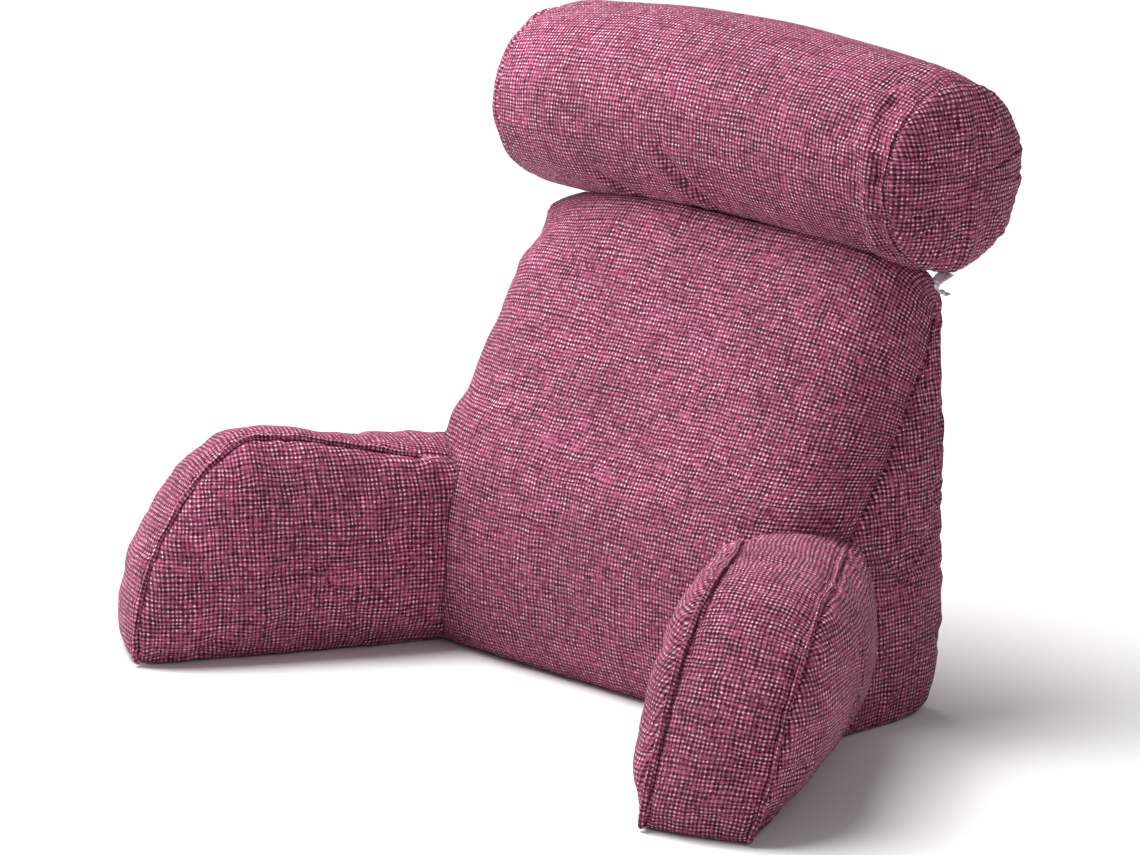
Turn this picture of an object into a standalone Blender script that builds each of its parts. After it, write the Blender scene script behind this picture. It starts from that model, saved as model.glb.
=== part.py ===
"""Backrest pillow with two arms and a neck roll, all filled cloth, resting on its base.

Metres, +Z up. +X is the sitter's left-to-right, -Y is the front, where the arms point.
The origin is the middle of the whole pillow's footprint, on the surface it stands on.
"""

import math

import bmesh
import bpy
import numpy as np

MM = 0.001

# Back cushion: a wedge with a wide front panel, a rear panel, a base and two side gussets.
BACK_HALF_WIDTH = 242 * MM
SIDE_CROWN = 17 * MM
SIDE_CENTRE = (-58 * MM, 128 * MM)
# How squarely the crown holds to the side seams, left and right: low on the panel, and at the top.
EDGE_POWERS = {-1: (4.0, 2.7), 1: (7.0, 4.0)}
TOP_ROUND_FROM = 300 * MM
TOP_ROUND_TO = 350 * MM

# Outline of the back cushion seen from the side, in millimetres. seam_y and seam_z follow the
# side gusset's seam, mid_y and mid_z the crowned section in the middle. y is 0 at the rear seam.
BACK_OUTLINE = (
    # seam_y, seam_z, mid_y, mid_z
    (-30, 0, -26, 0),
    (-8, 10, -6, 10),
    (-1, 46, 5, 48),
    (0, 135, 8, 135),
    (0, 225, 8, 225),
    (0, 315, 8, 320),
    (0, 347, 8, 372),
    (-2, 359, -8, 402),
    (-7, 353, -34, 402),
    (-12, 326, -58, 374),
    (-25, 300, -79, 339),
    (-40, 275, -97, 305),
    (-54, 248, -117, 268),
    (-73, 216, -144, 224),
    (-110, 166, -178, 171),
    (-132, 126, -191, 126),
    (-149, 81, -194, 81),
    (-162, 36, -189, 34),
    (-168, 9, -178, 7),
    (-160, 0, -168, 0),
    (-110, 0, -110, 0),
    (-60, 0, -60, 0),
)

# Arms: D-shaped inner and outer panels joined by a gusset strip.
ARM_ROOT = (199 * MM, -179 * MM)
ARM_SPLAY = math.radians(25.2)
ARM_CENTRE = (110 * MM, 85 * MM)
INNER_CROWN = 34 * MM
OUTER_CROWN = 40 * MM
GUSSET_CROWN = 8 * MM
# The two arms are stuffed and set a little differently: the side, the share of the full length,
# how far the outer seam reaches past the inner one at the front, and how much lower it runs.
ARM_SETS = {"left": (-1, 0.97, -12 * MM, 0.1), "right": (1, 1.0, 9 * MM, 0.055)}

# Outline of an arm, in millimetres: along the arm from its root, up, and how far sideways the
# inner and the outer seam lie from the inner root line.
ARM_OUTLINE = (
    # along, up, inner, outer
    (-63, 0, -8, 68),
    (20, 0, -9, 75),
    (100, 0, -8, 83),
    (180, 0, -5, 92),
    (256, 0, 0, 99),
    (268, 6, 1, 101),
    (270, 23, 4, 106),
    (265, 58, 10, 112),
    (250, 105, 17, 117),
    (230, 142, 22, 121),
    (204, 170, 26, 122),
    (165, 188, 29, 118),
    (126, 188, 23, 112),
    (81, 182, 13, 99),
    (21, 173, -4, 84),
    (-27, 168, -11, 72),
    (-63, 164, -13, 68),
    (-63, 110, -9, 68),
    (-63, 55, -4, 68),
)

# Neck roll: a stuffed tube with a gathered disc at each end, bowed over the back's crown.
ROLL_HALF_LENGTH = 239 * MM
ROLL_RADIUS = 88 * MM
ROLL_END_TAPER = 0.085
ROLL_CAP_CROWN = 25 * MM
ROLL_Y = 16.5 * MM
ROLL_Z = 471 * MM
ROLL_DROOP = 12 * MM

# Self-fabric welts on the arms' seams.
WELT_HEIGHT = 6.5 * MM
WELT_WIDTH = 4.0 * MM
EAR_HEIGHT = 9.5 * MM

# The tape at the back's right top corner, folded into an open loop; y and z in millimetres.
TAPE_WIDTH = 13 * MM
TAPE_THICKNESS = 1.2 * MM
TAPE_X = 232 * MM
TAPE_PATH = ((1, 365), (-3, 371), (-1, 376), (6, 377.5), (12, 375), (13, 369), (8, 364))

CLEARANCE = 0.4 * MM
BACK_AROUND = 64
BACK_ACROSS = 18
ARM_AROUND = 54
ARM_ACROSS = 6
ROLL_AROUND = 36
ROLL_ACROSS = 16
DISC_RINGS = 7


def clear_scene():
    for obj in list(bpy.data.objects):
        bpy.data.objects.remove(obj, do_unlink=True)
    for mesh in list(bpy.data.meshes):
        bpy.data.meshes.remove(mesh)


def cloth_material(name, colour, roughness):
    material = bpy.data.materials.new(name)
    material.use_nodes = True
    shader = material.node_tree.nodes["Principled BSDF"]
    shader.inputs["Base Color"].default_value = (*colour, 1.0)
    shader.inputs["Roughness"].default_value = roughness
    shader.inputs["Metallic"].default_value = 0.0
    return material


def smooth_closed(table, count):
    """count points on a closed centripetal curve through the table's rows, evenly spaced on it."""
    knots = np.array(table, float)
    total = len(knots)
    fine = []
    for i in range(total):
        p0, p1, p2, p3 = (knots[(i + k) % total] for k in (-1, 0, 1, 2))
        t0 = 0.0
        t1 = t0 + np.linalg.norm(p1[:2] - p0[:2]) ** 0.5
        t2 = t1 + np.linalg.norm(p2[:2] - p1[:2]) ** 0.5
        t3 = t2 + np.linalg.norm(p3[:2] - p2[:2]) ** 0.5
        for t in np.linspace(t1, t2, 16, endpoint=False):
            a1 = (t1 - t) / (t1 - t0) * p0 + (t - t0) / (t1 - t0) * p1
            a2 = (t2 - t) / (t2 - t1) * p1 + (t - t1) / (t2 - t1) * p2
            a3 = (t3 - t) / (t3 - t2) * p2 + (t - t2) / (t3 - t2) * p3
            b1 = (t2 - t) / (t2 - t0) * a1 + (t - t0) / (t2 - t0) * a2
            b2 = (t3 - t) / (t3 - t1) * a2 + (t - t1) / (t3 - t1) * a3
            fine.append((t2 - t) / (t2 - t1) * b1 + (t - t1) / (t2 - t1) * b2)
    fine = np.array(fine)
    steps = np.linalg.norm(np.diff(np.vstack([fine, fine[:1]])[:, :2], axis=0), axis=1)
    length = np.concatenate([[0.0], np.cumsum(steps)])
    wanted = np.linspace(0.0, length[-1], count, endpoint=False)
    closed = np.vstack([fine, fine[:1]])
    return np.stack([np.interp(wanted, length, closed[:, k]) for k in range(knots.shape[1])], axis=1)


def skin(name, rings, pole_a, pole_b, material):
    """A closed body through rings of points, from one pole to the other."""
    mesh = bpy.data.meshes.new(name)
    bm = bmesh.new()
    rows = [[bm.verts.new(point) for point in ring] for ring in rings]
    count = len(rows[0])
    for row, following in zip(rows, rows[1:]):
        for i in range(count):
            j = (i + 1) % count
            bm.faces.new((row[i], row[j], following[j], following[i]))
    for row, pole in ((rows[0], pole_a), (rows[-1], pole_b)):
        centre = bm.verts.new(pole)
        for i in range(count):
            bm.faces.new((row[i], row[(i + 1) % count], centre))
    bmesh.ops.recalc_face_normals(bm, faces=bm.faces)
    bmesh.ops.triangulate(bm, faces=bm.faces)
    bm.to_mesh(mesh)
    bm.free()
    mesh.shade_smooth()
    obj = bpy.data.objects.new(name, mesh)
    bpy.context.scene.collection.objects.link(obj)
    mesh.materials.append(material)
    return obj


def film_heights(flat, faces, fixed, held):
    """Two heights over a flat panel: a film hung from its held edge, and one blown up from it.

    flat holds 2-D points, the last `fixed` of them on the seam, whose heights are held.
    """
    free = len(flat) - fixed
    stiffness = np.zeros((len(flat), len(flat)))
    load = np.zeros(len(flat))
    for a, b, c in ((0, 1, 2), (1, 2, 0), (2, 0, 1)):
        at, left, right = faces[:, a], faces[:, b], faces[:, c]
        one, two = flat[left] - flat[at], flat[right] - flat[at]
        double_area = np.abs(one[:, 0] * two[:, 1] - one[:, 1] * two[:, 0])
        weight = (one * two).sum(axis=1) / double_area / 2
        for p, q in ((left, right), (right, left)):
            np.add.at(stiffness, (p, q), -weight)
            np.add.at(stiffness, (p, p), weight)
        np.add.at(load, at, double_area / 6)
    inside = stiffness[:free, :free]
    hung = np.linalg.solve(inside, -stiffness[:free, free:] @ held)
    blown = np.linalg.solve(inside, load[:free])
    return hung, np.maximum(blown / blown.max(), 0.0)


def disc_rings(seam, centre, out, crown, fullness):
    """A stuffed panel inside its seam: rings from near the centre out, and the middle point.

    out is the unit direction the panel bulges in, crown how far; a lower fullness is fuller.
    """
    count = len(seam)
    aside = (seam - centre) @ out
    plane = seam - centre - np.outer(aside, out)
    first = plane[0] / np.linalg.norm(plane[0])
    basis = np.array([first, np.cross(out, first)])
    reaches = 1.0 - (1.0 - np.linspace(0.0, 1.0, DISC_RINGS + 1)[1:]) ** 1.5
    flat = np.vstack([np.zeros((1, 2))] + [plane @ basis.T * reach for reach in reaches])
    step = np.arange(count)
    following = (step + 1) % count
    faces = [np.stack([np.zeros(count, int), 1 + step, 1 + following], axis=1)]
    for ring in range(DISC_RINGS - 1):
        here, beyond = 1 + ring * count, 1 + (ring + 1) * count
        faces.append(np.stack([here + step, beyond + step, beyond + following], axis=1))
        faces.append(np.stack([here + step, beyond + following, here + following], axis=1))
    hung, blown = film_heights(flat, np.vstack(faces), count, aside)
    height = hung + crown * blown**fullness
    points = centre + flat[:-count] @ basis + np.outer(height, out)
    return list(points[1:].reshape(-1, count, 3)), points[0]


def back_section(outline, x):
    """The back cushion's closed section at x."""
    seam, middle = outline[:, :2], outline[:, 2:]
    share = min(1.0, abs(x) / BACK_HALF_WIDTH)
    top = np.clip((outline[:, 1] - TOP_ROUND_FROM) / (TOP_ROUND_TO - TOP_ROUND_FROM), 0.0, 1.0)
    low, high = EDGE_POWERS[-1 if x < 0.0 else 1]
    power = low + (high - low) * top
    root = 0.5 + 0.33 * top
    crown = (1.0 - share**power) ** root
    yz = seam + (middle - seam) * crown[:, None]
    return np.column_stack([np.full(len(yz), x), yz[:, 0], np.maximum(yz[:, 1], 0.0)])


def back_rings():
    outline = smooth_closed(np.array(BACK_OUTLINE) * MM, BACK_AROUND)
    angles = np.linspace(-math.pi / 2, math.pi / 2, BACK_ACROSS + 1)
    band = [back_section(outline, BACK_HALF_WIDTH * math.sin(a)) for a in angles]
    pieces, poles = [], []
    for side, seam in ((-1, band[0]), (1, band[-1])):
        centre = np.array([side * BACK_HALF_WIDTH, *SIDE_CENTRE])
        disc, pole = disc_rings(seam, centre, np.array([side, 0.0, 0.0]), SIDE_CROWN, 0.5)
        pieces.append(disc)
        poles.append(pole)
    return pieces[0] + band + pieces[1][::-1], poles


def arm_point(side, along, sideways, up):
    """World place of a point given in an arm's own directions; side is -1 left, 1 right."""
    x = ARM_ROOT[0] + math.sin(ARM_SPLAY) * along + math.cos(ARM_SPLAY) * sideways
    y = ARM_ROOT[1] - math.cos(ARM_SPLAY) * along + math.sin(ARM_SPLAY) * sideways
    return np.stack([side * x, y + 0.0 * x, up + 0.0 * x], axis=-1)


def arm_outline():
    """The arm's outline rows, resampled, with the outward normal in the along-up plane."""
    rows = smooth_closed(np.array(ARM_OUTLINE) * MM, ARM_AROUND)
    rows[:, 1] = np.maximum(rows[:, 1], 0.0)
    ahead, behind = np.roll(rows, -1, 0)[:, :2], np.roll(rows, 1, 0)[:, :2]
    tangent = ahead - behind
    normal = np.stack([tangent[:, 1], -tangent[:, 0]], axis=1)
    normal /= np.linalg.norm(normal, axis=1)[:, None]
    return rows, normal


def arm_seams(name, rows):
    side, length_share, outer_reach, drop = ARM_SETS[name]
    along = np.where(rows[:, 0] > 0.0, rows[:, 0] * length_share, rows[:, 0])
    forward = np.clip(rows[:, 0] / rows[:, 0].max(), 0.0, 1.0) * outer_reach
    inner = arm_point(side, along, rows[:, 2], rows[:, 1])
    lower = 1.0 - drop * np.clip((rows[:, 0] + 20 * MM) / (110 * MM), 0.0, 1.0)
    outer = arm_point(side, along + forward, rows[:, 3], rows[:, 1] * lower)
    return inner, outer


def arm_rings(name):
    side = ARM_SETS[name][0]
    rows, normal = arm_outline()
    inner, outer = arm_seams(name, rows)
    off_floor = np.clip(rows[:, 1] / (30 * MM), 0.0, 1.0) * (rows[:, 0] > -60 * MM)
    outward = arm_point(side, normal[:, 0], 0.0, normal[:, 1]) - arm_point(side, 0.0, 0.0, 0.0)
    band = []
    for share in np.linspace(0.0, 1.0, ARM_ACROSS + 1):
        lift = GUSSET_CROWN * (4.0 * share * (1.0 - share)) ** 0.8
        ring = inner + (outer - inner) * share + outward * (lift * off_floor)[:, None]
        ring[:, 2] = np.maximum(ring[:, 2], 0.0)
        band.append(ring)
    pieces, poles = [], []
    centre = arm_point(side, ARM_CENTRE[0], 0.0, ARM_CENTRE[1])
    out = arm_point(side, 0.0, 1.0, 0.0) - arm_point(side, 0.0, 0.0, 0.0)
    for seam, sign, crown, fullness in (
        (inner, -1.0, INNER_CROWN, 0.36),
        (outer, 1.0, OUTER_CROWN, 0.6),
    ):
        disc, pole = disc_rings(seam, centre, out * sign, crown, fullness)
        pieces.append(disc)
        poles.append(pole)
    return pieces[0] + band + pieces[1][::-1], poles


def roll_rings():
    turn = np.linspace(0.0, 2 * math.pi, ROLL_AROUND, endpoint=False)
    band = []
    for angle in np.linspace(-math.pi / 2, math.pi / 2, ROLL_ACROSS + 1):
        x = ROLL_HALF_LENGTH * math.sin(angle)
        share = (x / ROLL_HALF_LENGTH) ** 2
        radius = ROLL_RADIUS * (1.0 - ROLL_END_TAPER * share**2)
        centre_z = ROLL_Z - ROLL_DROOP * share
        ring = np.column_stack(
            [np.full(ROLL_AROUND, x), ROLL_Y + radius * np.cos(turn), centre_z + radius * np.sin(turn)]
        )
        band.append(ring)
    pieces, poles = [], []
    for side, seam in ((-1, band[0]), (1, band[-1])):
        centre = np.array([side * ROLL_HALF_LENGTH, ROLL_Y, ROLL_Z - ROLL_DROOP])
        disc, pole = disc_rings(seam, centre, np.array([side, 0.0, 0.0]), ROLL_CAP_CROWN, 0.45)
        pieces.append(disc)
        poles.append(pole)
    return pieces[0] + band + pieces[1][::-1], poles


def grown_copy(obj, distance):
    """A hidden copy of obj, swollen along its normals, to cut a neighbour with clearance."""
    cutter = obj.copy()
    cutter.data = obj.data.copy()
    cutter.name = obj.name + "_cutter"
    bpy.context.scene.collection.objects.link(cutter)
    normals = [vertex.normal.copy() for vertex in cutter.data.vertices]
    for vertex, normal in zip(cutter.data.vertices, normals):
        vertex.co += normal * distance
    cutter.hide_render = True
    cutter.display_type = "WIRE"
    return cutter


def cut(obj, cutter):
    modifier = obj.modifiers.new("seat_on_" + cutter.name, "BOOLEAN")
    modifier.operation = "DIFFERENCE"
    modifier.solver = "EXACT"
    modifier.object = cutter


def make_welt(name, which, material):
    """A raised self-fabric welt along an arm's inner or outer seam, from its root to the floor."""
    side = ARM_SETS[name][0]
    rows, normal = arm_outline()
    seams = arm_seams(name, rows)
    seam = seams[0] if which == "inner" else seams[1]
    sign = -1.0 if which == "inner" else 1.0
    start = 12 * MM if which == "inner" else 0 * MM
    on_seam = (rows[:, 1] > 8 * MM) & (rows[:, 0] > start)
    picked = np.flatnonzero(on_seam)
    rings = []
    for n, i in enumerate(picked):
        outward = arm_point(side, normal[i, 0], sign, normal[i, 1]) - arm_point(side, 0.0, 0.0, 0.0)
        outward /= np.linalg.norm(outward)
        along = seam[(i + 1) % len(seam)] - seam[i - 1]
        across = np.cross(along / np.linalg.norm(along), outward)
        near_floor = max(0.0, 1.0 - n / 4.0)
        height = WELT_HEIGHT + (EAR_HEIGHT - WELT_HEIGHT) * near_floor
        base = seam[i] + outward * CLEARANCE
        half = WELT_WIDTH / 2
        profile = ((-0.35, 0.0), (0.35, 0.0), (1.0, 0.45), (0.6, 1.0), (-0.6, 1.0), (-1.0, 0.45))
        ring = np.array([base + across * half * a + outward * height * b for a, b in profile])
        ring[:, 2] = np.maximum(ring[:, 2], CLEARANCE)
        rings.append(ring)
    pole_a, pole_b = rings[0].mean(axis=0), rings[-1].mean(axis=0)
    return skin(f"{which}_welt_{name}", rings, pole_a, pole_b, material)


def make_tape(material):
    """The short folded satin tape that shows between the back's right top corner and the roll."""
    path = np.array(TAPE_PATH) * MM
    rings = []
    for i, (y, z) in enumerate(path):
        before, after = path[max(i - 1, 0)], path[min(i + 1, len(path) - 1)]
        tangent = (after - before) / np.linalg.norm(after - before)
        normal = np.array([-tangent[1], tangent[0]]) * TAPE_THICKNESS / 2
        corners = ((-0.5, -1), (0.5, -1), (0.5, 1), (-0.5, 1))
        ring = [(TAPE_X + a * TAPE_WIDTH, y + b * normal[0], z + b * normal[1]) for a, b in corners]
        rings.append(np.array(ring))
    return skin("corner_tape", rings, rings[0].mean(0), rings[-1].mean(0), material)


def centre_on_footprint(objects):
    """Parents the pieces to an empty and moves it so the origin is under the middle of them all."""
    bpy.context.view_layer.update()
    graph = bpy.context.evaluated_depsgraph_get()
    low, high = np.full(3, np.inf), np.full(3, -np.inf)
    for obj in objects:
        mesh = obj.evaluated_get(graph).to_mesh()
        points = np.array([tuple(vertex.co) for vertex in mesh.vertices])
        low, high = np.minimum(low, points.min(0)), np.maximum(high, points.max(0))
    middle = (low + high) / 2
    base = bpy.data.objects.new("pillow", None)
    bpy.context.scene.collection.objects.link(base)
    for obj in bpy.data.objects:
        if obj is not base:
            obj.parent = base
    base.location = (-middle[0], -middle[1], -low[2])


def main():
    clear_scene()
    weave = cloth_material("rose_basket_weave", (0.52, 0.14, 0.24), 0.95)
    satin = cloth_material("silver_satin_tape", (0.72, 0.68, 0.76), 0.35)

    rings, poles = roll_rings()
    roll = skin("neck_roll", rings, *poles, weave)
    rings, poles = back_rings()
    back = skin("back_cushion", rings, *poles, weave)
    back_cutter = grown_copy(back, CLEARANCE)
    cut(back, grown_copy(roll, CLEARANCE))

    pieces = [roll, back]
    for name in ARM_SETS:
        rings, poles = arm_rings(name)
        arm = skin("arm_" + name, rings, *poles, weave)
        cut(arm, back_cutter)
        pieces.append(arm)
        pieces += [make_welt(name, which, weave) for which in ("inner", "outer")]
    pieces.append(make_tape(satin))
    centre_on_footprint(pieces)


main()
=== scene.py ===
"""Backrest pillow: its visible cloth, seams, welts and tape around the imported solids.

Everything is in metres in the row frame: +Z up, -Y to the front, where the arms point, +X to the
right of the picture. The main shapes repeat the part's own outlines at a finer pitch, and add the
crown, the gathers along the seams, the folds and the woven surface.
"""

from __future__ import annotations

import logging
import math
from dataclasses import dataclass, field
from enum import Enum

import bmesh
import bpy
import numpy as np
from mathutils import Matrix, Vector
from mathutils.bvhtree import BVHTree


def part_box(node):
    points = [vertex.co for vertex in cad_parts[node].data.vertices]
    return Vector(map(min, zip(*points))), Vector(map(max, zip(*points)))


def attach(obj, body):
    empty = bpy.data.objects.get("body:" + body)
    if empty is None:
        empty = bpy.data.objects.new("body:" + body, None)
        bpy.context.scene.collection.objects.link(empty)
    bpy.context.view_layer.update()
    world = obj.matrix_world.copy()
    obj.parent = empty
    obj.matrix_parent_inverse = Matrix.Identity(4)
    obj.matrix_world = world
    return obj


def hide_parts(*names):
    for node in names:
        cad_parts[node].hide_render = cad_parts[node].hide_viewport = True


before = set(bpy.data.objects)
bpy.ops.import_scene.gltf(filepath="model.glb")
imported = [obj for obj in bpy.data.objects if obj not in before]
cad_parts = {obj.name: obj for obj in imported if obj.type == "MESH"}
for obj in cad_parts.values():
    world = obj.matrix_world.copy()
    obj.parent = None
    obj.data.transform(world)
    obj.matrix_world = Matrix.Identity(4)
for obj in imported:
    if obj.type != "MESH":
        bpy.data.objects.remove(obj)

LOG = logging.getLogger("pillow")
MM = 0.001
PANEL_RINGS = 12
RING_STEPS = 3
PANEL_ROWS = PANEL_RINGS * RING_STEPS
UPRIGHT_AXES = ((0.0, 1.0, 0.0), (0.0, 0.0, 1.0))
Array = np.ndarray
Colour = tuple[float, float, float, float]
Material = bpy.types.Material
Object = bpy.types.Object
Socket = bpy.types.NodeSocket


class Side(Enum):
    """A side of the pillow, with the sign of its x."""

    LEFT = -1
    RIGHT = 1


class Edge(Enum):
    """Which of an arm's two seams."""

    INNER = "inner"
    OUTER = "outer"


# Outline of the back from the side, in millimetres: seam_y, seam_z, mid_y, mid_z.
BACK_OUTLINE = (
    (-38, 0, -34, 0),
    (-13, 9, -10, 10),
    (-1, 46, 5, 48),
    (3, 135, 9, 135),
    (3, 225, 9, 225),
    (3, 315, 9, 320),
    (2, 347, 8, 372),
    (-2, 359, -8, 402),
    (-7, 353, -34, 402),
    (-12, 326, -58, 374),
    (-25, 300, -79, 339),
    (-40, 275, -97, 305),
    (-54, 248, -117, 268),
    (-73, 216, -144, 224),
    (-110, 166, -178, 171),
    (-132, 126, -191, 126),
    (-149, 81, -194, 81),
    (-162, 36, -189, 34),
    (-168, 9, -178, 7),
    (-160, 0, -168, 0),
    (-110, 0, -110, 0),
    (-60, 0, -60, 0),
)

# Outline of an arm, in millimetres: along, up, inner seam sideways, outer seam sideways.
ARM_OUTLINE = (
    (-63, 0, -8, 68),
    (20, 0, -9, 75),
    (100, 0, -8, 83),
    (180, 0, -5, 92),
    (256, 0, 0, 99),
    (268, 6, 1, 101),
    (270, 23, 4, 106),
    (265, 58, 10, 112),
    (250, 105, 17, 117),
    (230, 142, 22, 121),
    (204, 170, 26, 122),
    (165, 188, 29, 118),
    (126, 188, 23, 112),
    (81, 182, 13, 99),
    (21, 173, -4, 84),
    (-27, 168, -11, 72),
    (-63, 164, -13, 68),
    (-63, 110, -9, 68),
    (-63, 55, -4, 68),
)


def placed(name: str, data: bpy.types.ID) -> Object:
    """A new object in the scene.

    Args:
        name: Its name.
        data: Its mesh, light or camera.

    Returns:
        The object.
    """
    obj = bpy.data.objects.new(name, data)
    bpy.context.scene.collection.objects.link(obj)
    return obj


def run_along(points: Array) -> Array:
    """Distance travelled along a grid's first axis, from 0 at its first row."""
    steps = np.linalg.norm(np.diff(points, axis=0), axis=-1)
    return np.concatenate([np.zeros_like(steps[:1]), np.cumsum(steps, axis=0)])


def ring_run(ring: Array) -> Array:
    """Distance along a closed ring at each of its points, and at its end."""
    return run_along(np.concatenate([ring, ring[:1]]))


def smooth_closed(table: Array, count: int) -> Array:
    """Samples a closed centripetal curve through a table's rows.

    Args:
        table: Rows whose first two columns are the curve's plane.
        count: How many points, evenly spaced along the curve.

    Returns:
        An array of count rows with the table's columns.
    """
    knots = np.array(table, float)
    total = len(knots)
    fine = []
    for i in range(total):
        p0, p1, p2, p3 = (knots[(i + k) % total] for k in (-1, 0, 1, 2))
        t1 = np.linalg.norm(p1[:2] - p0[:2]) ** 0.5
        t2 = t1 + np.linalg.norm(p2[:2] - p1[:2]) ** 0.5
        t3 = t2 + np.linalg.norm(p3[:2] - p2[:2]) ** 0.5
        for t in np.linspace(t1, t2, 16, endpoint=False):
            a1 = (t1 - t) / t1 * p0 + t / t1 * p1
            a2 = (t2 - t) / (t2 - t1) * p1 + (t - t1) / (t2 - t1) * p2
            a3 = (t3 - t) / (t3 - t2) * p2 + (t - t2) / (t3 - t2) * p3
            b1 = (t2 - t) / t2 * a1 + t / t2 * a2
            b2 = (t3 - t) / (t3 - t1) * a2 + (t - t1) / (t3 - t1) * a3
            fine.append((t2 - t) / (t2 - t1) * b1 + (t - t1) / (t2 - t1) * b2)
    closed = np.array(fine + fine[:1])
    length = run_along(closed[:, :2])
    wanted = np.linspace(0.0, length[-1], count, endpoint=False)
    return np.stack([np.interp(wanted, length, closed[:, k]) for k in range(knots.shape[1])], axis=1)


def upsample(grid: Array, factor: int, wraps: bool) -> Array:
    """Refines a grid along its first axis with Catmull-Rom curves.

    Args:
        grid: Values (rows, ...).
        factor: How many steps each step becomes.
        wraps: Whether the last row is followed by the first.

    Returns:
        The refined grid, without a repeated first row when it wraps.
    """
    if wraps:
        before, after = grid[-1:], grid[:2]
    else:
        before, after = 2 * grid[:1] - grid[1:2], 2 * grid[-1:] - grid[-2:-1]
    padded = np.concatenate([before, grid, after])
    fine = []
    for i in range(len(grid) if wraps else len(grid) - 1):
        p0, p1, p2, p3 = padded[i : i + 4]
        slope, bend, twist = p2 - p0, 2 * p0 - 5 * p1 + 4 * p2 - p3, 3 * p1 - p0 - 3 * p2 + p3
        for t in np.arange(factor) / factor:
            fine.append(0.5 * (2 * p1 + slope * t + bend * t**2 + twist * t**3))
    if not wraps:
        fine.append(grid[-1])
    return np.array(fine)


def wander(run: Array, wavelength: float, seed: int) -> Array:
    """A smooth irregular wave along a line, of about unit height.

    Args:
        run: Distances along the line.
        wavelength: The usual length of a wave.
        seed: Fixes its shape.

    Returns:
        Heights with the shape of run.
    """
    random = np.random.default_rng(seed)
    total = np.zeros_like(run, dtype=float)
    for share in (0.62, 0.83, 1.0, 1.31, 1.74):
        phase = random.uniform(0.0, 2 * math.pi)
        total += np.sin(2 * math.pi * run / (wavelength * share * random.uniform(0.95, 1.05)) + phase)
    return total / 2.2


def lumps(points: Array, wavelength: float, seed: int) -> Array:
    """The slow unevenness of a stuffed cover, of about unit height.

    Args:
        points: Places (..., 3).
        wavelength: The usual distance between lumps.
        seed: Fixes their places.

    Returns:
        Heights, one a point.
    """
    random = np.random.default_rng(seed)
    total = np.zeros(points.shape[:-1])
    for _ in range(7):
        axis = random.normal(size=3)
        axis /= np.linalg.norm(axis)
        scale = wavelength * random.uniform(0.7, 1.5)
        total += np.sin(2 * math.pi * (points @ axis) / scale + random.uniform(0.0, 2 * math.pi))
    return total / 3.0


def ramp(value: Array, start: float, end: float) -> Array:
    """0 up to start, 1 from end on, and straight between them; end may be the lower one."""
    return np.clip((value - start) / (end - start), 0.0, 1.0)


def drawn_in(gap: Array, depth: float | Array, width: float, away: float = 0.0) -> Array:
    """How deep the stitches pull the cloth in beside a seam, most at a distance away from it."""
    return depth * np.exp(-(((gap - away) / width) ** 2))


def grid_faces(rows: int, count: int) -> list[list[int]]:
    """Quads between the rows of points round a body, then a fan to each of its poles.

    Args:
        rows: How many rows.
        count: Points in each.

    Returns:
        Faces, the two poles being the points after the last row.
    """
    step = np.arange(count)
    ahead = (step + 1) % count
    last = (rows - 1) * count
    faces: list[list[int]] = []
    for here in range(0, last, count):
        there = here + count
        faces += np.stack([here + step, here + ahead, there + ahead, there + step], 1).tolist()
    faces += np.stack([ahead, step, np.full(count, last + count)], 1).tolist()
    faces += np.stack([last + step, last + ahead, np.full(count, last + count + 1)], 1).tolist()
    return faces


@dataclass(frozen=True)
class Gathers:
    """Puckers that run in from a seam: their spacing, height and how far they reach."""

    wavelength: float
    height: float
    reach: float
    seed: int

    def lift(self, run: Array, gap: Array) -> Array:
        """Height off the cloth.

        Args:
            run: Distance along the seam.
            gap: Distance in from the seam.

        Returns:
            Heights, with the shape of the two together.
        """
        share = gap / self.reach
        return self.height * share * np.exp(1.0 - share) * wander(run, self.wavelength, self.seed)


@dataclass(frozen=True)
class Fold:
    """A soft crease along a line through the row frame, with the cloth raised beside it."""

    path: tuple[tuple[float, float, float], ...]
    depth: float
    width: float
    shoulder: float = 0.35

    def lift(self, points: Array) -> Array:
        """Height off the cloth at each point.

        Args:
            points: Places (..., 3), in metres.

        Returns:
            Heights, one a point.
        """
        knots = np.array(self.path)
        best = np.full(points.shape[:-1], np.inf)
        for start, end in zip(knots, knots[1:]):
            line = end - start
            share = np.clip(((points - start) @ line) / (line @ line), 0.0, 1.0)
            away = np.linalg.norm(points - start - share[..., None] * line, axis=-1)
            best = np.minimum(best, away)
        total = np.sum(np.linalg.norm(np.diff(knots, axis=0), axis=1))
        middle = knots.mean(axis=0)
        fade = np.exp(-((np.linalg.norm(points - middle, axis=-1) / (0.55 * total)) ** 4))
        valley = np.exp(-((best / self.width) ** 2))
        ridge = np.exp(-(((best - 2.1 * self.width) / (1.1 * self.width)) ** 2))
        return fade * self.depth * (self.shoulder * ridge - valley)


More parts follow.
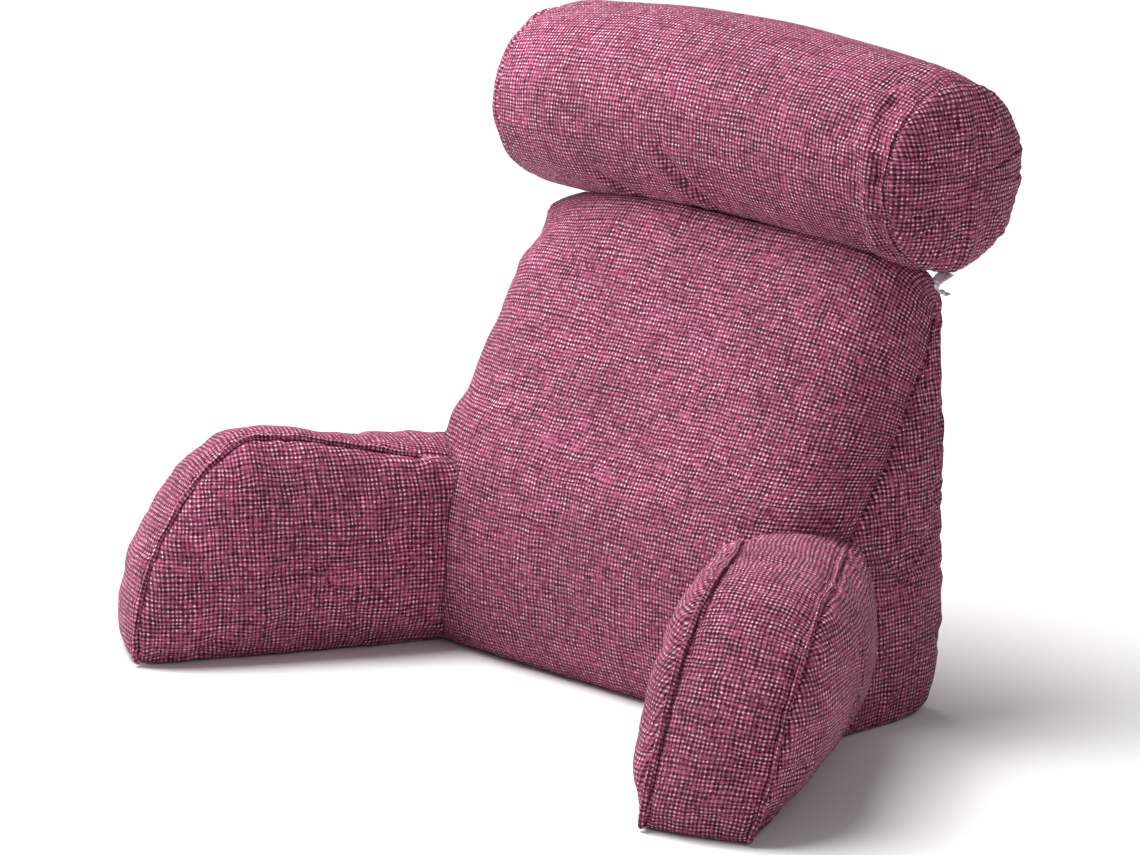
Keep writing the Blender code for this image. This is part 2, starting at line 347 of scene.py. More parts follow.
@dataclass
class Patch:
    """A panel as rows of points round the body, with its cloth coordinates and seam distances."""

    points: Array
    uv: Array
    gap: Array
    run: Array

    @classmethod
    def band(cls, points: Array, halved: bool) -> Patch:
        """A band of rows that runs from one seam to another.

        Args:
            points: Grid (rows, n, 3).
            halved: Whether its cloth is measured from half the way across, not from its middle row.

        Returns:
            The patch.
        """
        inward = run_along(points)
        middle = len(points) // 2
        width = inward - (inward[-1:] / 2 if halved else inward[middle : middle + 1])
        width = np.concatenate([width, width[:, :1]], axis=1)
        run = ring_run(points[middle])
        gap = np.minimum(inward, inward[-1:] - inward)
        uv = np.stack(np.broadcast_arrays(width, run[None]), axis=-1)
        return cls(points, uv, gap, np.broadcast_to(run[:-1], gap.shape))

    def flipped(self) -> Patch:
        """The patch with its rows in the opposite order."""
        return Patch(self.points[::-1], self.uv[::-1], self.gap[::-1], self.run[::-1])


Panel = tuple[Patch, Array, Array]


@dataclass
class Body:
    """A closed stuffed body made of panels laid one after another from pole to pole."""

    name: str
    patches: list[Patch]
    poles: tuple[Array, Array]
    pole_uv: tuple[Array, Array]

    @classmethod
    def between(cls, name: str, first: Panel, band: Patch, last: Panel) -> Body:
        """A body of two end panels with a band between them."""
        return cls(name, [first[0], band, last[0].flipped()], (first[1], last[1]), (first[2], last[2]))

    def rows(self, name: str) -> Array:
        """One of the patches' arrays for the whole body, each seam row once."""
        first, *others = (getattr(patch, name) for patch in self.patches)
        return np.concatenate([first] + [other[1:] for other in others])

    def fields(self) -> tuple[Array, Array, Array, Array]:
        """Its grid of points, their outward normals, distance in from the seams, and along them."""
        points = self.rows("points")
        return points, grid_normals(points), self.rows("gap"), self.rows("run")

    def settled(self, points: Array, gap: Array, most: float) -> Array:
        """Args:
            points: The grid before it settles.
            gap: Distance in from the seams.
            most: The longest move.

        Returns:
            Moves, one a point.
        """
        return Settling(most=most).moves(points, np.array(self.poles), gap)

    def mesh_object(self, points: Array, material: Material) -> Object:
        """Makes the Blender object.

        Args:
            points: The grid's final points (rows, n, 3).
            material: The cloth.

        Returns:
            A closed mesh with the panels' cloth coordinates in the UV map "Cloth".
        """
        rows, count = points.shape[:2]
        corners = []
        for patch in self.patches:
            for uv, beyond in zip(patch.uv, patch.uv[1:]):
                corners.append(np.stack([uv[:-1], uv[1:], beyond[1:], beyond[:-1]], 1).reshape(-1, 2))
        start, end = self.patches[0].uv[0], self.patches[-1].uv[-1]
        edges = ((start[1:], start[:-1]), (end[:-1], end[1:]))
        for edge, centre in zip(edges, self.pole_uv):
            fan = [*edge, np.broadcast_to(centre, (count, 2))]
            corners.append(np.stack(fan, 1).reshape(-1, 2))
        mesh = bpy.data.meshes.new(self.name)
        vertices = np.concatenate([points.reshape(-1, 3), np.array(self.poles)])
        mesh.from_pydata(vertices.tolist(), [], grid_faces(rows, count))
        layer = mesh.uv_layers.new(name="Cloth")
        layer.uv.foreach_set("vector", np.concatenate(corners).astype(np.float32).ravel())
        mesh.shade_smooth()
        mesh.materials.append(material)
        obj = placed(self.name, mesh)
        turn_outward(obj)
        return obj


def turn_outward(obj: Object) -> None:
    """Flips a closed mesh's faces if they enclose a negative volume.

    Args:
        obj: A mesh object at the origin.
    """
    work = bmesh.new()
    work.from_mesh(obj.data)
    if work.calc_volume(signed=True) < 0.0:
        bmesh.ops.reverse_faces(work, faces=work.faces)
        work.to_mesh(obj.data)
    work.free()


def grid_normals(points: Array) -> Array:
    """Outward unit normals of a closed grid of rows round a body.

    Args:
        points: Grid (rows, n, 3).

    Returns:
        Normals with the same shape.
    """
    around = np.roll(points, -1, axis=1) - np.roll(points, 1, axis=1)
    across = np.gradient(points, axis=0)
    normal = np.cross(around, across)
    size = np.linalg.norm(normal, axis=-1, keepdims=True)
    normal /= np.maximum(size, 1e-12)
    outward = np.sum(normal * (points - points.mean(axis=(0, 1))), axis=-1)
    return normal if np.median(outward) > 0.0 else -normal


def blurred(grid: Array, reach: int) -> Array:
    """A grid smoothed over a number of steps, wrapping round the body.

    Args:
        grid: Values (rows, n, 3).
        reach: Steps to each side.

    Returns:
        The smoothed values.
    """
    weights = np.exp(-0.5 * (np.arange(-2 * reach, 2 * reach + 1) / reach) ** 2)
    weights /= weights.sum()
    smooth = sum(w * np.roll(grid, k - 2 * reach, axis=1) for k, w in enumerate(weights))
    padded = np.concatenate([smooth[:1].repeat(2 * reach, 0), smooth, smooth[-1:].repeat(2 * reach, 0)])
    return sum(w * padded[k : k + len(grid)] for k, w in enumerate(weights))


@dataclass(frozen=True)
class Settling:
    """A short cloth simulation that lets a loose cover pucker against its held seams."""

    pressure: float = 4.0
    ease: float = 0.035
    frames: int = 20
    stride: int = 2
    most: float = 2.6 * MM
    reach: int = 6
    held_gap: float = 2.5 * MM
    held_height: float = 3 * MM

    def cloth(self, obj: Object) -> None:
        """Gives a mesh the cloth's settings, with its group "held" pinned.

        Args:
            obj: The mesh object.
        """
        modifier = obj.modifiers.new("settle", "CLOTH")
        cloth = modifier.settings
        cloth.quality = 6
        cloth.mass = 0.25
        cloth.tension_stiffness = cloth.compression_stiffness = 22.0
        cloth.shear_stiffness = 8.0
        cloth.bending_stiffness = 0.6
        cloth.use_pressure = True
        cloth.uniform_pressure_force = self.pressure
        cloth.shrink_min = -self.ease
        cloth.vertex_group_mass = "held"
        cloth.effector_weights.gravity = 0.0
        modifier.collision_settings.use_collision = False
        modifier.point_cache.frame_start = 1
        modifier.point_cache.frame_end = self.frames

    def moves(self, points: Array, poles: Array, gap: Array) -> Array:
        """Simulates every few points of a cover's grid and spreads their moves over all of it.

        Args:
            points: The grid (rows, n, 3).
            poles: Its two poles.
            gap: Distance in from the seams.

        Returns:
            Moves for every point of the grid.
        """
        rows = np.arange(0, len(points), self.stride)
        coarse = points[rows][:, :: self.stride]
        mesh = bpy.data.meshes.new("settling")
        vertices = np.concatenate([coarse.reshape(-1, 3), poles])
        mesh.from_pydata(vertices.tolist(), [], grid_faces(*coarse.shape[:2]))
        obj = placed("settling", mesh)
        turn_outward(obj)
        held = obj.vertex_groups.new(name="held")
        fixed = (gap[rows][:, :: self.stride] < self.held_gap) | (coarse[..., 2] < self.held_height)
        held.add(np.flatnonzero(fixed.ravel()).tolist(), 1.0, "REPLACE")
        self.cloth(obj)
        scene = bpy.context.scene
        for frame_number in range(1, self.frames + 1):
            scene.frame_set(frame_number)
        settled = obj.evaluated_get(bpy.context.evaluated_depsgraph_get()).to_mesh()
        flat = np.empty(len(settled.vertices) * 3, np.float32)
        settled.vertices.foreach_get("co", flat)
        moved = flat.reshape(-1, 3)[: coarse.size // 3].reshape(coarse.shape) - coarse
        scene.frame_set(1)
        bpy.data.objects.remove(obj)
        moved -= blurred(moved, self.reach)
        size = np.linalg.norm(moved, axis=-1, keepdims=True)
        moved *= np.tanh(size / self.most) * self.most / np.maximum(size, 1e-9)
        fine = upsample(upsample(moved, self.stride, wraps=False).swapaxes(0, 1), self.stride, wraps=True)
        fine = fine.swapaxes(0, 1)
        short = len(points) - len(fine)
        return np.concatenate([fine, fine[-1:].repeat(short, 0)]) if short > 0 else fine[: len(points)]


@dataclass
class StuffedPanel:
    """A flat-cut panel filled inside a closed seam: a film over the seam plus a crown."""

    out: Array
    crown: float
    fullness: float
    rings: int = PANEL_RINGS
    ring_factor: int = RING_STEPS
    around_factor: int = 4

    @staticmethod
    def reaches(steps: int) -> Array:
        """How far out each ring lies, from the pole to the seam and closer together near the seam."""
        return 1.0 - (1.0 - np.linspace(0.0, 1.0, steps + 1)) ** 1.5

    def film(self, flat: Array, held: Array, count: int) -> tuple[Array, Array]:
        """Solves the hanging film and the blown film over the flat rings.

        Args:
            flat: 2-D points, the pole first and the seam's last.
            held: The seam's heights.
            count: Points round each ring.

        Returns:
            The two heights at every point that isn't on the seam.
        """
        step = np.arange(count)
        ahead = (step + 1) % count
        faces = [np.stack([np.zeros(count, int), 1 + step, 1 + ahead], axis=1)]
        for ring in range(self.rings - 1):
            here, there = 1 + ring * count, 1 + (ring + 1) * count
            faces.append(np.stack([here + step, there + step, there + ahead], axis=1))
            faces.append(np.stack([here + step, there + ahead, here + ahead], axis=1))
        triangles = np.vstack(faces)
        free = len(flat) - count
        stiffness = np.zeros((len(flat), len(flat)))
        load = np.zeros(len(flat))
        for a, b, c in ((0, 1, 2), (1, 2, 0), (2, 0, 1)):
            at, left, right = triangles[:, a], triangles[:, b], triangles[:, c]
            one, two = flat[left] - flat[at], flat[right] - flat[at]
            double_area = np.abs(one[:, 0] * two[:, 1] - one[:, 1] * two[:, 0])
            weight = (one * two).sum(axis=1) / double_area / 2
            for p, q in ((left, right), (right, left)):
                np.add.at(stiffness, (p, q), -weight)
                np.add.at(stiffness, (p, p), weight)
            np.add.at(load, at, double_area / 6)
        inside = stiffness[:free, :free]
        hung = np.linalg.solve(inside, -stiffness[:free, free:] @ held)
        blown = np.linalg.solve(inside, load[:free])
        return hung, np.maximum(blown / blown.max(), 0.0)

    def patch(self, seam: Array, centre: Array, cloth_axes: Array) -> Panel:
        """Builds the panel's rings from near the centre out to the seam.

        Args:
            seam: Points round the seam (n, 3), n a multiple of around_factor.
            centre: The panel's middle, in the seam's rough plane.
            cloth_axes: Two unit vectors, the cloth's own directions on the panel.

        Returns:
            The patch, its pole and the pole's cloth coordinates.
        """
        aside = (seam - centre) @ self.out
        plane = seam - centre - np.outer(aside, self.out)
        first = plane[0] / np.linalg.norm(plane[0])
        basis = np.array([first, np.cross(self.out, first)])
        coarse = plane[:: self.around_factor] @ basis.T
        count = len(coarse)
        flat = np.vstack([np.zeros((1, 2))] + [coarse * reach for reach in self.reaches(self.rings)[1:]])
        edge = aside[:: self.around_factor]
        hung, blown = self.film(flat, edge, count)
        fields = []
        for values, last in ((hung, edge), (blown, np.zeros(count))):
            rows = np.vstack([np.full(count, values[0]), values[1:].reshape(-1, count), last])
            fine = upsample(rows, self.ring_factor, wraps=False)
            fields.append(upsample(fine.T, self.around_factor, wraps=True).T)
        reaches = self.reaches(self.rings * self.ring_factor)[:, None]
        height = fields[0] + self.crown * np.maximum(fields[1], 0.0) ** self.fullness
        height[-1] = aside
        points = centre + plane[None] * reaches[..., None] + height[..., None] * self.out
        inward = run_along(points)
        gap = inward[-1][None] - inward
        flat_length = np.linalg.norm(plane, axis=1)[None] * reaches
        stretch = np.where(flat_length > 0, 0.5 + 0.5 * inward / np.maximum(flat_length, 1e-9), 1.0)
        uv = (plane @ cloth_axes.T)[None] * (reaches * stretch)[..., None]
        uv = np.concatenate([uv, uv[:, :1]], axis=1)
        run = np.broadcast_to(ring_run(seam)[:-1], gap.shape)
        patch = Patch(points[1:], uv[1:], gap[1:], run[1:])
        return patch, points[0, 0], uv[0, 0]


class NodeSheet:
    """A small helper that lays out nodes and keeps their wiring short."""

    def __init__(self, tree: bpy.types.NodeTree) -> None:
        """Takes over a node tree and empties it."""
        self.tree = tree
        self.tree.nodes.clear()

    @classmethod
    def of(cls, material: Material) -> NodeSheet:
        """The empty sheet of a material."""
        material.use_nodes = True
        return cls(material.node_tree)

    def node(self, kind: str, **settings: object) -> bpy.types.Node:
        """Adds a node.

        Args:
            kind: Its bl_idname.
            **settings: Attributes to set on it.

        Returns:
            The node.
        """
        made = self.tree.nodes.new(kind)
        for key, value in settings.items():
            setattr(made, key, value)
        return made

    def feed(self, socket: Socket, value: object) -> None:
        """Links a socket's source, or sets its constant.

        Args:
            socket: The input.
            value: An output socket, a number or a tuple.
        """
        if isinstance(value, Socket):
            self.tree.links.new(value, socket)
        else:
            socket.default_value = value

    def math(self, operation: str, *values: object) -> Socket:
        """A Math node's result for up to three values.

        Args:
            operation: The node's operation.
            *values: Sockets or numbers.

        Returns:
            The result.
        """
        made = self.node("ShaderNodeMath", operation=operation)
        for socket, value in zip(made.inputs, values):
            self.feed(socket, value)
        return made.outputs[0]

    def times(self, first: object, *others: object) -> Socket:
        """The product of its values.

        Args:
            first: A socket or a number.
            *others: What it is multiplied by.

        Returns:
            The product.
        """
        for other in others:
            first = self.math("MULTIPLY", first, other)
        return first

    def scaled(self, value: object, gain: object, offset: object) -> Socket:
        """A value times a gain, plus an offset."""
        return self.math("MULTIPLY_ADD", value, gain, offset)

    def rest(self, value: object) -> Socket:
        """What a value leaves of 1."""
        return self.math("SUBTRACT", 1.0, value)

    def smooth(self, value: object, low: float, high: float) -> Socket:
        """A smooth step from 0 at low to 1 at high.

        Args:
            value: What is stepped.
            low: Where the step starts.
            high: Where it ends.

        Returns:
            The step.
        """
        made = self.node("ShaderNodeMapRange", interpolation_type="SMOOTHSTEP", clamp=True)
        self.feed(made.inputs["Value"], value)
        self.feed(made.inputs["From Min"], low)
        self.feed(made.inputs["From Max"], high)
        return made.outputs["Result"]

    def blend(self, share: object, one: object, two: object) -> Socket:
        """One number to another by share.

        Args:
            share: 0 for the first and 1 for the second.
            one: The first.
            two: The second.

        Returns:
            The blend.
        """
        made = self.node("ShaderNodeMix", data_type="FLOAT")
        for socket, value in zip((made.inputs[0], made.inputs[2], made.inputs[3]), (share, one, two)):
            self.feed(socket, value)
        return made.outputs[0]

    def tint(self, share: object, one: object, two: object, mode: str = "MIX") -> Socket:
        """One colour to another by share, in a blend mode.

        Args:
            share: 0 for the first and 1 for the second.
            one: The first.
            two: The second.
            mode: The blend mode.

        Returns:
            The blended colour.
        """
        made = self.node("ShaderNodeMix", data_type="RGBA", blend_type=mode)
        for socket, value in zip((made.inputs[0], made.inputs[6], made.inputs[7]), (share, one, two)):
            self.feed(socket, value)
        return made.outputs[2]

    def vector(self, x: object, y: object, z: object = 0.0) -> Socket:
        """Three numbers as a vector.

        Args:
            x: The first.
            y: The second.
            z: The third.

        Returns:
            The vector.
        """
        made = self.node("ShaderNodeCombineXYZ")
        for socket, value in zip(made.inputs, (x, y, z)):
            self.feed(socket, value)
        return made.outputs[0]

    def noise(self, where: object, scale: float, detail: float = 2.0) -> Socket:
        """A noise texture's value at a vector.

        Args:
            where: The vector.
            scale: How fine the noise is.
            detail: How many finer layers it has.

        Returns:
            The value.
        """
        made = self.node("ShaderNodeTexNoise", noise_dimensions="3D")
        self.feed(made.inputs["Vector"], where)
        self.feed(made.inputs["Scale"], scale)
        self.feed(made.inputs["Detail"], detail)
        return made.outputs["Fac"]

    def join(self, source: Socket, node: bpy.types.Node, name: str) -> bpy.types.Node:
        """Links a socket to a node's named input and gives back the node."""
        self.tree.links.new(source, node.inputs[name])
        return node

    def bump(self, strength: float, distance: float, height: Socket) -> Socket:
        """The normal that a height gives.

        Args:
            strength: How strongly it shows.
            distance: How far a height of 1 stands out.
            height: The height.

        Returns:
            The normal.
        """
        made = self.node("ShaderNodeBump")
        for name, value in (("Strength", strength), ("Distance", distance), ("Height", height)):
            self.feed(made.inputs[name], value)
        return made.outputs[0]

    def surface(self, inputs: dict[str, object]) -> None:
        """Ends a material in a Principled shader.

        Args:
            inputs: What goes into its sockets, by name.
        """
        shader = self.node("ShaderNodeBsdfPrincipled")
        for name, value in inputs.items():
            self.feed(shader.inputs[name], value)
        self.feed(self.node("ShaderNodeOutputMaterial").inputs["Surface"], shader.outputs[0])

    def random(self, *where: object) -> Socket:
        """A number from 0 to 1, its own at every place.

        Args:
            *where: Up to three coordinates.

        Returns:
            The number.
        """
        made = self.node("ShaderNodeTexWhiteNoise", noise_dimensions="3D")
        self.feed(made.inputs["Vector"], self.vector(*where))
        return made.outputs["Value"]

    def split(self, where: object) -> tuple[Socket, ...]:
        """A vector's x, y and z.

        Args:
            where: The vector.

        Returns:
            The three.
        """
        made = self.node("ShaderNodeSeparateXYZ")
        self.feed(made.inputs[0], where)
        return tuple(made.outputs)


@dataclass(frozen=True)
class BasketWeave:
    """Coarse rose basket weave of uneven yarn, with painted highlights on the thread tops and painted shade in
    the grooves, lines and holes between the threads.
    """

    name: str = "rose_basket_weave"
    cell: float = 3.75 * MM
    relief: float = 1.1 * MM
    rib: float = 0.0
    wine: Colour = (0.25, 0.024, 0.074, 1.0)
    rose: Colour = (0.52, 0.118, 0.240, 1.0)
    # pale: painted highlight colour, laid on thread tops where light would catch the yarn.
    pale: Colour = (1.0, 0.72, 0.84, 1.0)
    # shade and deep: painted shade colours, for the ply splits, grooves and lines between threads and for the
    # holes.
    shade: Colour = (0.10, 0.008, 0.028, 1.0)
    deep: Colour = (0.036, 0.002, 0.010, 1.0)

    def threads(self, s: NodeSheet, uv: Socket) -> tuple[Socket, ...]:
        """Counts threads across and along, with rows that drift and yarns of uneven width.

        Args:
            s: The material's nodes.
            uv: The cloth coordinates, in metres.

        Returns:
            The two thread counts, whose whole parts number the threads.
        """
        raw_u, raw_v, _ = s.split(uv)
        counts = []
        for turn, (main, other) in enumerate(((raw_u, raw_v), (raw_v, raw_u))):
            bend = s.noise(s.vector(s.times(main, 22.0), s.times(other, 30.0), 4.0 + turn), 1.0)
            count = s.math("DIVIDE", s.scaled(bend, 5.0 * MM, main), self.cell)
            width = s.noise(
                s.vector(s.times(count, 0.42), s.times(other, 14.0), 9.0 + turn), 1.0, 1.0
            )
            counts.append(s.scaled(width, 0.9, count))
        return tuple(counts)

    def line(
        self,
        s: NodeSheet,
        count: Socket,
        other: Socket,
        middle: Socket,
        extra: float,
    ) -> Socket:
        """The thin shaded line between two threads, open on some stretches only.

        Args:
            s: The material's nodes.
            count: The thread count that the line separates.
            other: The thread count along the line.
            middle: 1 in the middle of a thread and 0 at its edges.
            extra: How much likelier a line is than usual.

        Returns:
            1 in an open line and 0 elsewhere.
        """
        number = s.times(s.math("ROUND", count), 5.37)
        where = s.vector(number, s.times(other, 0.07), 20.0 + 7.0 * extra)
        share = s.smooth(s.noise(where, 1.0, 1.0), 0.49 - 0.1 * extra, 0.60 - 0.1 * extra)
        return s.times(s.rest(s.smooth(middle, 0.05, 0.40)), share)

    def material(self) -> Material:
        """Builds the node material on the UV map "Cloth".

        Returns:
            The weave.
        """
        material = bpy.data.materials.new(self.name)
        s = NodeSheet.of(material)
        uv = s.node("ShaderNodeUVMap", uv_map="Cloth").outputs[0]
        place = s.node("ShaderNodeTexCoord").outputs["Object"]
        across, along = self.threads(s, uv)
        cell_u, cell_v = s.math("FLOOR", across), s.math("FLOOR", along)
        parity = s.math("FLOORED_MODULO", s.math("ADD", cell_u, cell_v), 2.0)

        def arch(count: Socket) -> Socket:
            """1 in the middle of a thread and 0 at its edges."""
            return s.rest(s.math("ABSOLUTE", s.scaled(s.math("FRACT", count), 2.0, -1.0)))

        mid_u, mid_v = arch(across), arch(along)
        side, end = s.blend(parity, mid_u, mid_v), s.blend(parity, mid_v, mid_u)
        thread = s.blend(parity, cell_u, cell_v)
        length = s.blend(parity, along, across)

        # Each yarn has its own tone, which changes along it, and thick soft stretches: slubs.
        yarn = s.vector(s.times(thread, 7.31), s.times(length, 0.31), parity)
        tone = s.noise(yarn, 1.0, 2.5)
        slub_at = s.vector(s.times(thread, 3.17), s.times(length, 0.36), s.math("ADD", parity, 5.0))
        slub = s.smooth(s.noise(slub_at, 1.0, 1.0), 0.55, 0.68)
        highlight_pick = s.random(cell_u, cell_v, parity)
        corner = s.random(s.math("ROUND", across), s.math("ROUND", along), 2.0)
        patch = s.smooth(s.noise(uv, 42.0, 1.0), 0.42, 0.60)
        flat_at = s.vector(s.times(across, 0.21), s.times(along, 0.33), 12.0)
        flat = s.smooth(s.noise(flat_at, 1.0, 2.0), 0.48, 0.66)
        open_share = s.times(s.scaled(slub, -0.6, 1.0), s.scaled(flat, -0.3, 1.0))

        # Masks for painted shade: the ply split, the holes, the grooves and the open lines between threads are
        # darkened below; most also lower the bump height.
        split = s.times(s.smooth(side, 0.72, 0.98), patch)
        height = s.times(s.math("POWER", side, 0.5), s.scaled(s.smooth(end, 0.0, 0.55), 0.45, 0.55))
        height = s.times(height, s.scaled(split, -0.3, 1.0))
        hole = s.times(s.rest(mid_u), s.rest(mid_v))
        hole = s.math("ADD", hole, s.scaled(corner, 0.26, -0.17))
        hole = s.times(s.smooth(hole, 0.13, 0.29), open_share)
        groove = s.rest(s.smooth(side, 0.04, 0.42))
        groove = s.times(groove, s.scaled(open_share, 0.35, 0.12))
        lines_u = self.line(s, across, along, mid_u, 0.0)
        lines_v = self.line(s, along, across, mid_v, self.rib)
        lines = s.math("MAXIMUM", lines_u, lines_v)
        groove = s.math("MAXIMUM", groove, s.times(lines, 0.85))
        height = s.scaled(lines, -0.5, height)

        body = s.tint(s.smooth(tone, 0.18, 0.78), self.wine, self.rose)
        # Painted highlight: a random pick of thread tops turns pale, as if lit; the same places are also
        # glossier.
        crest_highlight = s.times(s.smooth(side, 0.50, 0.90), s.smooth(end, 0.35, 0.95), s.smooth(highlight_pick, 0.05, 1.0))
        crest_highlight = s.times(crest_highlight, s.scaled(slub, -0.8, 1.0))
        colour = s.tint(s.times(slub, 0.5), body, self.rose)
        # Over the yarn's own tone: painted highlight on the thread tops, then painted shade in the ply splits,
        # the grooves and lines, and the holes.
        for share, over in (
            (crest_highlight, self.pale),
            (s.times(split, 0.5), self.shade),
            (groove, self.shade),
            (hole, self.deep),
        ):
            colour = s.tint(share, colour, over)
        worn = s.scaled(s.noise(place, 11.0, 1.0), 0.5, 0.75)
        s.surface(
            {
                "Base Color": s.tint(1.0, colour, s.vector(worn, worn, worn), "MULTIPLY"),
                "Roughness": s.blend(crest_highlight, 0.85, 0.48),
                "Normal": s.bump(0.8, self.relief, s.scaled(hole, -0.5, height)),
                "Specular IOR Level": 0.35,
                "Sheen Weight": 0.07,
                "Sheen Roughness": 0.4,
                "Sheen Tint": (1.0, 0.62, 0.80, 1.0),
            }
        )
        return material


@dataclass(frozen=True)
class SatinTape:
    """Thin grey-lilac satin tape with crossways creases; its silvery shine is partly painted highlight blended
    into its colour.
    """

    name: str = "silver_satin_tape"
    colour: Colour = (0.56, 0.45, 0.60, 1.0)
    painted_highlight: Colour = (0.97, 0.95, 0.99, 1.0)

    def material(self) -> Material:
        """Builds the node material.

        Returns:
            The satin.
        """
        material = bpy.data.materials.new(self.name)
        s = NodeSheet.of(material)
        place = s.node("ShaderNodeTexCoord").outputs["Object"]
        # Painted highlight: the cloud blends the tape's colour to near white in patches; it also sets the
        # roughness and the bump.
        cloud = s.noise(place, 260.0, 3.0)
        s.surface(
            {
                "Base Color": s.tint(s.smooth(cloud, 0.35, 0.65), self.colour, self.painted_highlight),
                "Roughness": s.scaled(cloud, 0.2, 0.22),
                "Normal": s.bump(0.6, 0.6 * MM, cloud),
                "Sheen Weight": 0.3,
            }
        )
        return material


@dataclass
class NeckRoll:
    """The stuffed tube with a round disc at each end."""

    shift: Array
    half_length: float = 239 * MM
    radius: float = 88 * MM
    end_taper: float = 0.085
    left_taper: float = 0.13
    cap_crown: float = 25 * MM
    left_crown: float = 30 * MM
    centre_y: float = 16.5 * MM
    centre_z: float = 471 * MM
    droop: float = 12 * MM
    settle: float = 1.5 * MM
    around: int = 256
    across: int = 150

    def axis_z(self, x: Array) -> Array:
        """Height of the roll's axis at x, before the shift."""
        return self.centre_z - self.droop * (x / self.half_length) ** 2

    def radius_at(self, x: Array) -> Array:
        """Radius at x."""
        taper = np.where(np.asarray(x) < 0.0, self.left_taper, self.end_taper)
        return self.radius * (1.0 - taper * np.abs(x / self.half_length) ** 4)

    def body(self) -> Body:
        """Lays out the tube and its two discs.

        Returns:
            The roll's smooth body.
        """
        turn = np.linspace(0.0, 2 * math.pi, self.around, endpoint=False)
        angles = np.linspace(-math.pi / 2, math.pi / 2, self.across + 1)
        share = 0.6 * np.sin(angles) + 0.4 * angles / (math.pi / 2)
        xs = self.half_length * share
        radius = self.radius_at(xs)[:, None]
        points = np.stack(
            [
                np.broadcast_to(xs[:, None], (len(xs), self.around)),
                self.centre_y + radius * np.cos(turn),
                self.axis_z(xs)[:, None] + radius * np.sin(turn),
            ],
            axis=-1,
        )
        points = points + self.shift
        run = np.linspace(0.0, 2 * math.pi * self.radius, self.around + 1)
        gap = np.minimum(xs - xs[0], xs[-1] - xs)[:, None] + np.zeros((1, self.around))
        uv = np.stack(np.broadcast_arrays(run[None], xs[:, None]), axis=-1)
        tube = Patch(points, uv, gap, np.broadcast_to(run[:-1], gap.shape))
        caps = []
        for side, seam in ((-1, points[0]), (1, points[-1])):
            crown = self.left_crown if side < 0 else self.cap_crown
            panel = StuffedPanel(np.array([side, 0.0, 0.0]), crown, 0.45)
            centre = np.array([side * self.half_length, self.centre_y, self.centre_z - self.droop])
            caps.append(panel.patch(seam, centre + self.shift, np.array(UPRIGHT_AXES)))
        return Body.between("roll_cover", caps[0], tube, caps[1])

    def build(self, cloth: Material) -> Object:
        """Adds the gathers and folds and makes the piece.

        Args:
            cloth: The cover's material.

        Returns:
            The roll's cover.
        """
        body = self.body()
        points, normals, gap, run = body.fields()
        lift = 0.9 * MM * lumps(points, 120 * MM, 11)
        right = ramp(points[..., 0], 0.0, 0.6 * self.half_length)
        lift += (0.15 + 0.85 * right) * Gathers(13 * MM, 0.7 * MM, 20 * MM, 3).lift(run, gap)
        lift += Gathers(62 * MM, 1.2 * MM, 28 * MM, 5).lift(run, gap)
        lift -= drawn_in(gap, (0.1 + 1.7 * right) * MM, 2.6 * MM)
        for fold in self.folds():
            lift += fold.lift(points)
        moved = points + normals * lift[..., None]
        calm = np.maximum(ramp(points[..., 0], -0.95 * self.half_length, -0.7 * self.half_length), 0.15)
        moved += body.settled(moved, gap, self.settle) * calm[..., None]
        return body.mesh_object(moved, cloth)

    def folds(self) -> list[Fold]:
        """The creases that show on the front of the roll.

        Returns:
            The folds.
        """
        return [
            Fold(((0.210, 0.128, 0.524), (0.222, 0.106, 0.47), (0.216, 0.120, 0.410)), 3.8 * MM, 7 * MM, 0.6),
            Fold(((-0.129, 0.112, 0.418), (-0.105, 0.119, 0.405), (-0.085, 0.128, 0.399)), 3.6 * MM, 8 * MM),
            Fold(
                ((-0.035, 0.092, 0.456), (-0.02, 0.098, 0.436), (-0.006, 0.106, 0.420), (0.008, 0.124, 0.404)),
                3.6 * MM,
                7 * MM,
                0.5,
            ),
        ]


